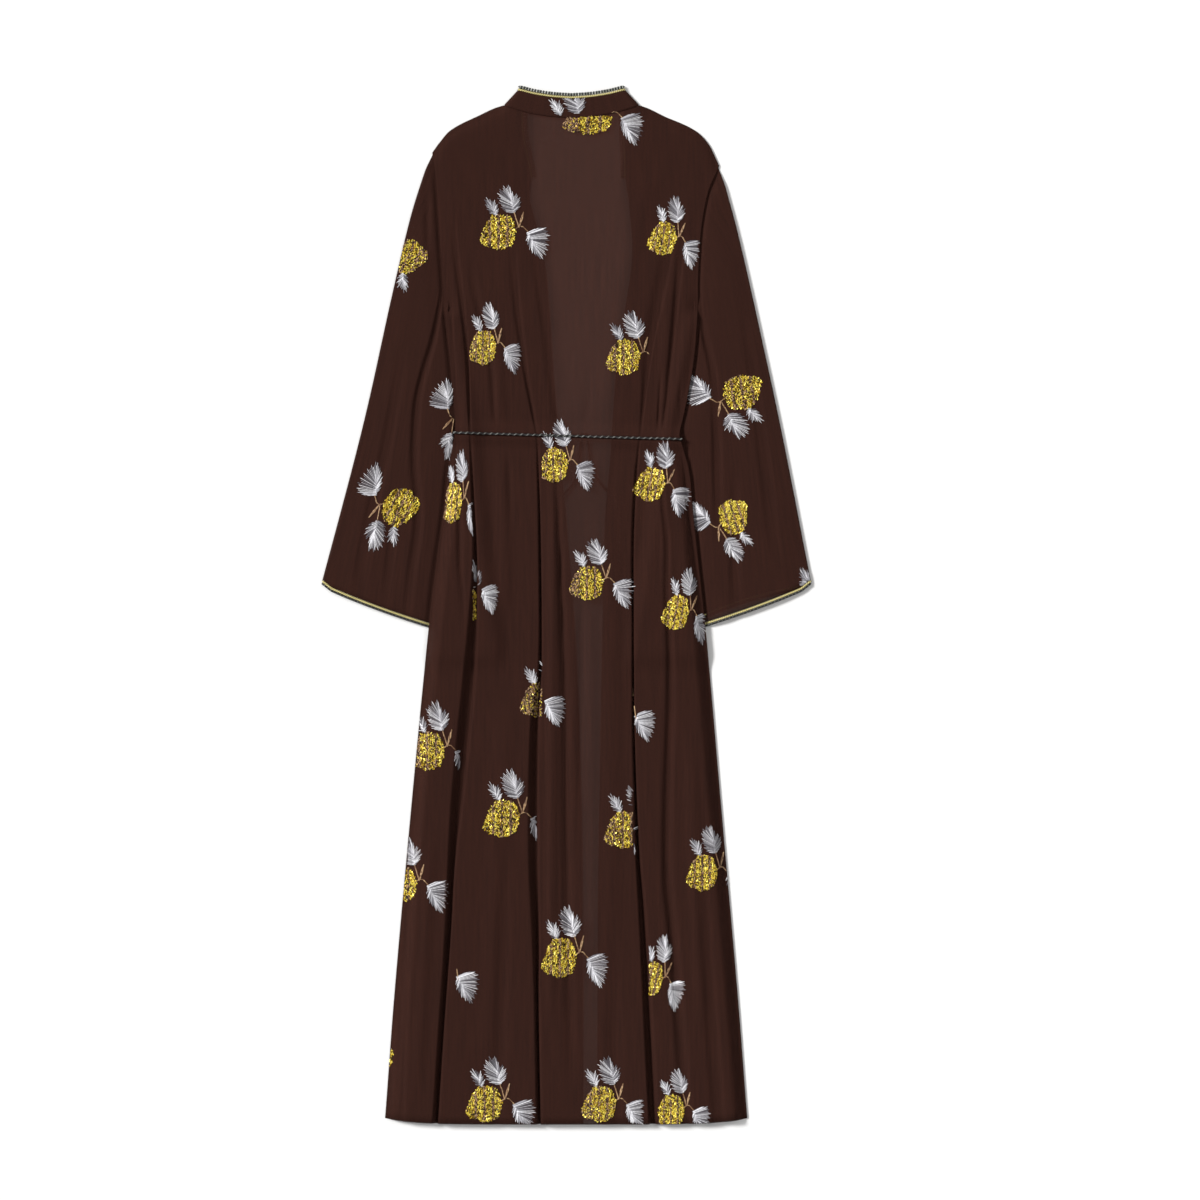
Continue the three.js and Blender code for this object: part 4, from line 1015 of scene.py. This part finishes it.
# Stem stitches in a row, each a little over the next one's start.
def stalkStitches(x0, y0, x1, y1, width=sprig["stalkWide"]):
    length, height = sprig["stalkStitch"]
    count = max(2, int(math.hypot(x1 - x0, y1 - y0) / length))
    found = []
    for k in range(count):
        a, b = k / count - 0.06, (k + 1) / count + 0.16
        found.append((
            mix(x0, x1, a) + random.uniform(-0.3, 0.3), mix(y0, y1, a), mix(x0, x1, b), mix(y0, y1, b),
            width, height, clamp(random.gauss(0.6, 0.2)), "tanThread",
        ))
    return found


def sprigStitches(parts):
    found = fruitStitches("d" in parts) if "f" in parts else []
    for letter, leaf in sprig["leaves"].items():
        if letter in parts:
            found += leafStitches(*leaf)
    if "t" in parts:
        found += stalkStitches(*sprig["longStalk"])
    if "s" in parts:
        for stalk in sprig["stalks"]:
            found += stalkStitches(*stalk)
        x0, y0, x1, y1 = sprig["bud"]
        ends, starts, width, budSides = sprig["budForm"]
        for off in budSides:
            found += stalkStitches(x0, y0, mix(x0, x1, ends) + off, mix(y0, y1, ends), width)
            found += stalkStitches(mix(x0, x1, starts) + off, mix(y0, y1, starts), x1, y1, width)
    return found


# Where the sprigs lie, millimetres from the middle of the scene: x, y, clockwise turn, breadth, height, parts
# (d dull, f fruit, a to c its leaves, s stalks, t long stalk), then as far as needed: cut left of this, cut
# right of it, cut above it.
whole = "fabcs"
uncut = (-999, 999, 999)
sprigs = {
    "back": [
        (31, 679, 0, 1.36, 0.82, "f", -999, 999, 685), (37, 682, 0, 1, 1.02, "cs", 62, 999, 692),
        (-94.5, 522, 0, 1, 1, whole), (135, 513, 10, 0.78, 0.95, whole),
        (-117, 360, 0, 0.76, 0.98, whole, -136), (80.5, 347, 0, 0.95, 1, whole, -999, 117),
        (-18, 196, 0, 0.82, 0.98, whole, -35), (-160, 143, 6, 0.58, 1.15, whole, -999, -131),
        (117, 169, 12, 0.84, 0.98, whole), (29, 31, 0, 0.94, 0.96, whole),
        (-140.7, -1, 0, 0.74, 0.98, "fab", -132), (-147, 23, 0, 0.74, 0.96, "c", -124),
        (153, -10, 10, 0.72, 1, whole), (-40, -133, 0, 0.94, 0.98, "dfabs", -999, -33.5),
        (-68, -133, 0, 0.95, 0.98, "c", -30.5), (57.5, -153, 0, 0.95, 1, "ct", 92.5),
        (-194, -204, 0, 0.98, 1.08, whole, -999, -149), (-89.6, -298, 0, 1, 1.06, whole, -999, -41),
        (79, -314, 0, 0.98, 1.04, "fas", -999, 93), (85, -314, 0, 0.9, 1.04, "b", -999, 93),
        (46, -314, 0, 0.95, 1, "c", 94, 101), (-233, -391, 0, 0.98, 1.02, whole),
        (190, -374, 0, 0.86, 1.02, whole), (-9, -493, 0, 0.96, 1.12, whole),
        (117, -522, 12, 0.72, 1, whole, 115), (-193, -518, 0, 1, 1, "ct", -162, 999, -509),
        (-266.5, -630, 0, 1, 1, "f"), (-114, -697, 0, 1, 1.02, whole),
        (46, -697, 0, 0.96, 1.02, whole, -999, 108), (146, -706, 0, 0.78, 0.9, whole, 128),
    ],
    "collar": [(-4, 662, 0, 1, 0.98, "ab", -999, 999, 716)],
    "left": [
        (-222, 487, 206, 1, 1, whole), (-129.5, 256, 206, 1, 1, "abcs", -999, -158),
        (-233, 136, 206, 0.95, 1.12, whole),
    ],
    "right": [
        (246, 297, 170, 1.12, 0.98, whole), (234, 123, 164, 0.84, 0.98, whole),
        (388, 27, 170, 1, 1, "c", 326),
    ],
}
laying = {
    "above": 0.2,  # metres over the cloth, from where each place is dropped onto it
    "flattest": 0.3,  # cloth that is steeper than this takes no stitch
    "lift": 0.35,
    "steepest": 0.75,  # rise over length of a stitch, which may not jump across a fold
    "overlap": 0.28,  # of the pieces of a long stitch
}


def laySprig(tree, row, stitches):
    x0, y0, turn, broad, tall, parts, cutLeft, cutRight, cutAbove = (*row, *uncut[len(row) - 6:])
    cos, sin = math.cos(math.radians(turn)), math.sin(math.radians(turn))
    for ax, ay, bx, by, width, height, shade, finish in sprigStitches(parts):
        pieces = math.ceil(math.hypot(bx - ax, by - ay) / sprig["longest"])
        spots = []
        for k in range(pieces + 1):
            px, py = mix(ax, bx, k / pieces) * broad, mix(ay, by, k / pieces) * tall
            spots.append((x0 + px * cos + py * sin, y0 - px * sin + py * cos))
        hits = []
        for x, y in spots:
            hit, normal = tree.ray_cast(Vector((x * mm, y * mm, laying["above"])), Vector((0, 0, -1)))[:2]
            shown = hit and normal.z > laying["flattest"] and cutLeft < x < cutRight and y < cutAbove
            hits.append(hit + normal * laying["lift"] * mm if shown else None)
        for a, b in zip(hits, hits[1:]):
            if a is None or b is None or abs(a.z - b.z) > laying["steepest"] * (a - b).length:
                continue
            over = (b - a) * laying["overlap"] if pieces > 1 else Vector()
            stitches.setdefault(finish, []).append((a - over, b + over, width * mm, height * mm, shade))


panels = {"back": back, "collar": collarCloth, "left": sleeveLeft, "right": sleeveRight}
sewnOn = {}
for panel, sheet in panels.items():
    tree, kinds = treeOf(sheet), {}
    for row in sprigs[panel]:
        laySprig(tree, row, kinds)
    sewnOn[panel] = []
    for finish, stitches in kinds.items():
        shiny = finish == "goldThread"
        piece = stitchPiece(panel + "_" + finish, stitches, finish, 0.6 if shiny else 0.1, not shiny)
        sewnOn[panel].append(piece)
        print(piece.name, len(stitches), "stitches", len(piece.data.polygons), "faces")


# Point, tangent, side and out at each point of a path.
def tubeFrames(points, closed=False):
    frames = []
    count = len(points)
    for i, point in enumerate(points):
        before = points[(i - 1) % count] if closed else points[max(i - 1, 0)]
        after = points[(i + 1) % count] if closed else points[min(i + 1, count - 1)]
        along = (after - before).normalized()
        side = along.cross(Vector((0, 0, 1)))
        side = side.normalized() if side.length > 0.05 else Vector((0, 1, 0))
        frames.append((point, along, side, side.cross(along).normalized()))
    return frames


# Strands wound about a path: each has a thread radius, a winding radius, a pitch, a phase and a flatness. A
# wound strand's shade is painted lighter where its winding brings it up on top and darker where it goes
# under.
def strandPiece(name, path, strands, finish, closed=False, around=6):
    corners, faces, shades = [], [], []
    frames = tubeFrames(path, closed)
    step = (path[1] - path[0]).length
    for threadR, windR, pitch, phase, flat in strands:
        base = len(corners)
        turns = round(len(path) * step / pitch) if closed else len(path) * step / pitch
        for i, (point, along, side, out) in enumerate(frames):
            turn = 2 * math.pi * turns * i / len(frames) + phase
            centre = point + side * (math.cos(turn) * windR) + out * (math.sin(turn) * windR * flat)
            for k in range(around):
                angle = 2 * math.pi * k / around
                off = side * math.cos(angle) + out * (math.sin(angle) * flat)
                corners.append(tuple(centre + off * threadR))
                # painted highlight and shade: lighter as sin(turn) rises, which is where a wound strand lies
                # on top
                shades.append(0.45 + 0.35 * math.sin(turn))
        rings = len(frames)
        for i in range(rings if closed else rings - 1):
            for k in range(around):
                a, b = base + i * around, base + (i + 1) % rings * around
                faces.append([a + k, b + k, b + (k + 1) % around, a + (k + 1) % around])
        if not closed:
            faces.append([base + k for k in range(around)])
            faces.append([base + (rings - 1) * around + k for k in range(around)][::-1])
    return newPiece(name, corners, faces, shades, finish, True)


# What both edgings share: pitch and steps of their paths in metres, the rest in millimetres and shares.
edging = {
    "wind": 0.85, "pitch": 0.006, "flat": 0.55, "fine": 0.0011, "coarse": 0.002, "tickHigh": 0.7,
    "tickFrom": (0.95, 0.25),  # share of the band's radius inwards, and height
    "tickTo": (1.05, 0.4, 0.15),  # share of it outwards, forwards, and height
}
plainPitch = 0.01  # metres; a strand that isn't wound about its path takes only its shades from this


# A gold twist along the edge, then a black band with pale overcast stitches.
def edgeTrim(name, edge, outwards, closed, sizes):
    goldPath = [p + o * (sizes["goldAt"] * mm) for p, o in zip(edge, outwards)]
    bandPath = [p + o * (sizes["bandAt"] * mm) for p, o in zip(edge, outwards)]
    twist = [
        (sizes["gold"] * mm, sizes["gold"] * edging["wind"] * mm, edging["pitch"], phase, edging["flat"])
        for phase in (0, math.pi)
    ]
    goldPath = evenPath(goldPath, edging["fine"], closed)
    gold = strandPiece(name + "_twist", goldPath, twist, "palePiping", closed)
    band = strandPiece(
        name + "_band", evenPath(bandPath, edging["coarse"], closed),
        [(sizes["band"] * mm, 0, plainPitch, 0, sizes["bandFlat"])], "blackThread", closed, 8,
    )
    ticks = []
    wide, high = sizes["tickWide"] * mm, edging["tickHigh"] * mm
    inwards, startHigh = edging["tickFrom"]
    past, forwards, endHigh = edging["tickTo"]
    for point, along, side, out in tubeFrames(evenPath(bandPath, sizes["tick"] * mm, closed), closed):
        nearest = min(range(len(bandPath)), key=lambda i: (bandPath[i] - point).length)
        across = side if side.dot(outwards[nearest]) > 0 else -side
        start = point - across * (sizes["band"] * inwards * mm) + out * (startHigh * mm)
        end = point + across * (sizes["band"] * past * mm) + along * (forwards * mm) + out * (endHigh * mm)
        top = (start + end) / 2 + out * (sizes["band"] * sizes["bandFlat"] * mm)
        shade = random.uniform(0.35, 1)
        ticks += [(start, top, wide, high, shade), (top, end, wide, high, shade)]
    return joined([gold, band, stitchPiece(name + "_overcast", ticks, "greyTinsel")], name)


def outwardsOf(edge, inside):
    found = []
    for i, point in enumerate(edge):
        along = (edge[min(i + 1, len(edge) - 1)] - edge[max(i - 1, 0)]).normalized()
        rise = point - inside[i]
        found.append((rise - along * rise.dot(along)).normalized())
    return found


# Radius and place outwards of the gold and the band, and the gap and width of the overcast stitches.
collarSizes = {
    "gold": 0.95, "goldAt": 0.6, "band": 2.1, "bandAt": 4.5, "bandFlat": 0.35, "tick": 3.9, "tickWide": 1.8,
    "lift": 0.5, "outwardRise": 0.3,
}
sleeveSizes = {
    "gold": 1.0, "goldAt": 1.9, "band": 1.45, "bandAt": 5.2, "bandFlat": 0.5, "tick": 5.2, "tickWide": 0.45,
    "lowest": 1.15,
}
collarEdge = [collarPoint(along, 1) + Vector((0, 0, collarSizes["lift"] * mm)) for along in collarStations]
collarInside = [collarPoint(along, 0.5) for along in collarStations]
collarOut = [
    Vector((o.x, o.y, o.z * collarSizes["outwardRise"])).normalized()
    for o in outwardsOf(collarEdge, collarInside)
]
collarTrim = edgeTrim("collar_edging", collarEdge, collarOut, False, collarSizes)


def sleeveTrim(side):
    edge = [sleevePoint(side, min(t, fullTurn), 1) for t in sleeveTurns[:-1]]
    run = sleevePoint(side, 0.25, 1) - sleevePoint(side, 0.25, 0.95)
    outward = Vector((run.x, run.y, 0)).normalized()
    edge = [Vector((p.x, p.y, max(p.z, sleeveSizes["lowest"] * mm))) for p in edge]
    return edgeTrim("sleeve_edging_" + side, edge, [outward] * len(edge), True, sleeveSizes)


sleeveTrims = {side: sleeveTrim(side) for side in sleeves}
print("edgings sewn")

belt = {
    "pitch": 8.6, "strand": 1.0, "wind": 0.75, "tinsel": 0.27, "tinselWind": 1.3, "step": 0.0008,
    "gap": 0.35,  # between the cord and the cloth's wall
    "sink": 0.5,  # the cord over the back presses this far into the cloth
    "sideOut": 3.3,
    "sideTurns": (-70, -40, 0, 40, 70),  # degrees, round each side
    "knotSize": (1.7, 1.25, 0.9),
    "knotThick": 1.6,
    "knotPoints": 90,
}
away = body["cloth"] / 2 + belt["gap"] + body["beltThick"] / 2
underStops = [17.4, 8, -15, -45, -75, -95, -105, -113, -121, -129, -137, -145, -152]
overStops = spread([-150, 156], [61])
underStopsRight = [159, 152, 144, 136, 128, 120, 112, 104, 94, 75, 55, 42, 32.6]


def backHeight(x, up):
    left = follow(sides, 1, up)
    share = clamp((x - left) / (follow(sides, 2, up) - left))
    return backBase(x, up, share, 0) - foldAt("back", x, up)[0]


def underBelt(x):
    return place(x, beltUp(x), floorOf(x, beltUp(x)) - away)


def overBelt(x):
    highest = max(backHeight(x + near, beltUp(x)) for near in (-3, 0, 3))
    return place(x, beltUp(x), highest + away - belt["sink"])


def beltTurn(x, sign):
    low, high = underBelt(x), overBelt(x)
    middle, reach = (low.z + high.z) / 2, (high.z - low.z) / 2
    found = []
    for turn in map(math.radians, belt["sideTurns"]):
        out = sign * belt["sideOut"] * mm * math.cos(turn)
        found.append(Vector((low.x + out, low.y, middle + reach * math.sin(turn))))
    return found


waistLeft, waistRight = sides[8][1:3]
beltPath = [underBelt(x) for x in underStops] + beltTurn(waistLeft, -1)
beltPath += [overBelt(x) for x in overStops] + beltTurn(waistRight, 1)[::-1]
beltPath += [underBelt(x) for x in underStopsRight]
tailRoutes = {
    "left": [
        (20, 955.8, 2.4), (19, 944, 1.9), (18, 925, 1.85), (14, 905, 1.9), (8, 894, 2.1), (2, 887, 2.9),
        (-5, 880, 3.7), (-12, 868, 3.6), (-16, 848, 3.3), (-16, 820, 3.3), (-13, 795, 3.3), (-14, 770, 3.3),
    ],
    "right": [
        (30, 955.8, 2.4), (31, 944, 1.9), (34, 925, 1.85), (41, 905, 1.9), (49, 894, 2.7), (57, 885, 3.7),
        (66, 876, 3.7), (73, 860, 3.4), (76, 835, 3.3), (73, 808, 3.3), (74, 784, 3.3),
    ],
}


def twistedCord(name, route):
    path = evenPath(route, belt["step"])
    dark = [(belt["strand"] * mm, belt["wind"] * mm, belt["pitch"] * mm, phase, 1) for phase in (0, math.pi)]
    pale = [(belt["tinsel"] * mm, belt["tinselWind"] * mm, belt["pitch"] * mm, math.pi / 2, 1)]
    pieces = [
        strandPiece(name + "_dark", path, dark, "blackThread"),
        strandPiece(name + "_tinsel", path, pale, "greyTinsel", around=5),
    ]
    return joined(pieces, name), path


beltCord, beltLine = twistedCord("belt_cord", beltPath)
tails = {}
for side, route in tailRoutes.items():
    tails[side] = twistedCord("belt_end_" + side, [place(*p) for p in route])

knotLoop = []  # an overhand knot
knotWide, knotTall, knotHigh = belt["knotSize"]
for k in range(belt["knotPoints"]):
    t = 2 * math.pi * k / belt["knotPoints"]
    x = (math.sin(t) + 2 * math.sin(2 * t)) * knotWide
    y = (math.cos(t) - 2 * math.cos(2 * t)) * knotTall
    knotLoop.append(place(knot["x"] + x, knot["up"] + y, knot["z"] - math.sin(3 * t) * knotHigh))
knotPiece = strandPiece(
    "belt_tie", knotLoop, [(belt["knotThick"] * mm, 0, plainPitch, 0, 1)], "blackThread", True, 8
)
print("belt tied")

# Each piece's solid, and the slot of its finish.
for obj, node, slot in (
    (back, "back", "crepe"), (frontLeft, "front_left", "crepe"), (frontRight, "front_right", "crepe"),
    (sleeveLeft, "sleeve_left", "crepe"), (sleeveRight, "sleeve_right", "crepe"),
    (collarCloth, "collar", "crepe"), (collarTrim, "collar_trim", "trim"),
    (sleeveTrims["left"], "sleeve_trim_left", "trim"), (sleeveTrims["right"], "sleeve_trim_right", "trim"),
    (beltCord, "belt", "cord"), (knotPiece, "belt_knot", "cord"),
    (tails["left"][0], "belt_tail_left", "cord"), (tails["right"][0], "belt_tail_right", "cord"),
):
    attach(obj, "root")
    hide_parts(node)
for pieces in sewnOn.values():
    for piece in pieces:
        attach(piece, "root")

studio = {
    "floor": ("#F4F3F1", "#FAFAF9"), "floorSize": 60, "floorDrop": 0.0004,
    "sky": "#FBFBFC", "world": 0.34,
    "key": (3.8, 16, (0, -55, -24)),  # strength, softness in degrees, turn in degrees
    "fill": (0.5, 40, (0, 35, 30)),
}
deselectAll()
bpy.ops.mesh.primitive_plane_add(size=studio["floorSize"], location=(0, 0, -studio["floorDrop"]))
floor = bpy.context.object
floor.name = "floor"
# Matt paper with hardly any mottle.
floorPaint, floorTree = newMaterial("matt_paper")
floorNoise = addNode(floorTree, "TexNoise", {"Scale": 6.0})
floorStops = list(zip((0.3, 0.7), studio["floor"]))
floorColour = addNode(floorTree, "ValToRGB", {}, {"Fac": floorNoise}, floorStops)
floorShader = addNode(
    floorTree, "BsdfPrincipled", {"Roughness": 0.9, "Specular IOR Level": 0.2}, {"Base Color": floorColour}
)
addNode(floorTree, "OutputMaterial", {}, {"Surface": floorShader})
floor.data.materials.append(floorPaint)


def softSun(name):
    strength, softness, turn = studio[name]
    deselectAll()
    bpy.ops.object.light_add(type="SUN", location=(0, 0, 3), rotation=[math.radians(a) for a in turn])
    bpy.context.object.name = name
    bpy.context.object.data.energy = strength
    bpy.context.object.data.angle = math.radians(softness)


softSun("key")
softSun("fill")
world = bpy.data.worlds.new("studio")
bpy.context.scene.world = world
world.use_nodes = True
sky = world.node_tree.nodes["Background"].inputs
sky["Color"].default_value = linear(studio["sky"])
sky["Strength"].default_value = studio["world"]
bpy.context.scene.view_settings.view_transform = "Standard"
print("studio lit")
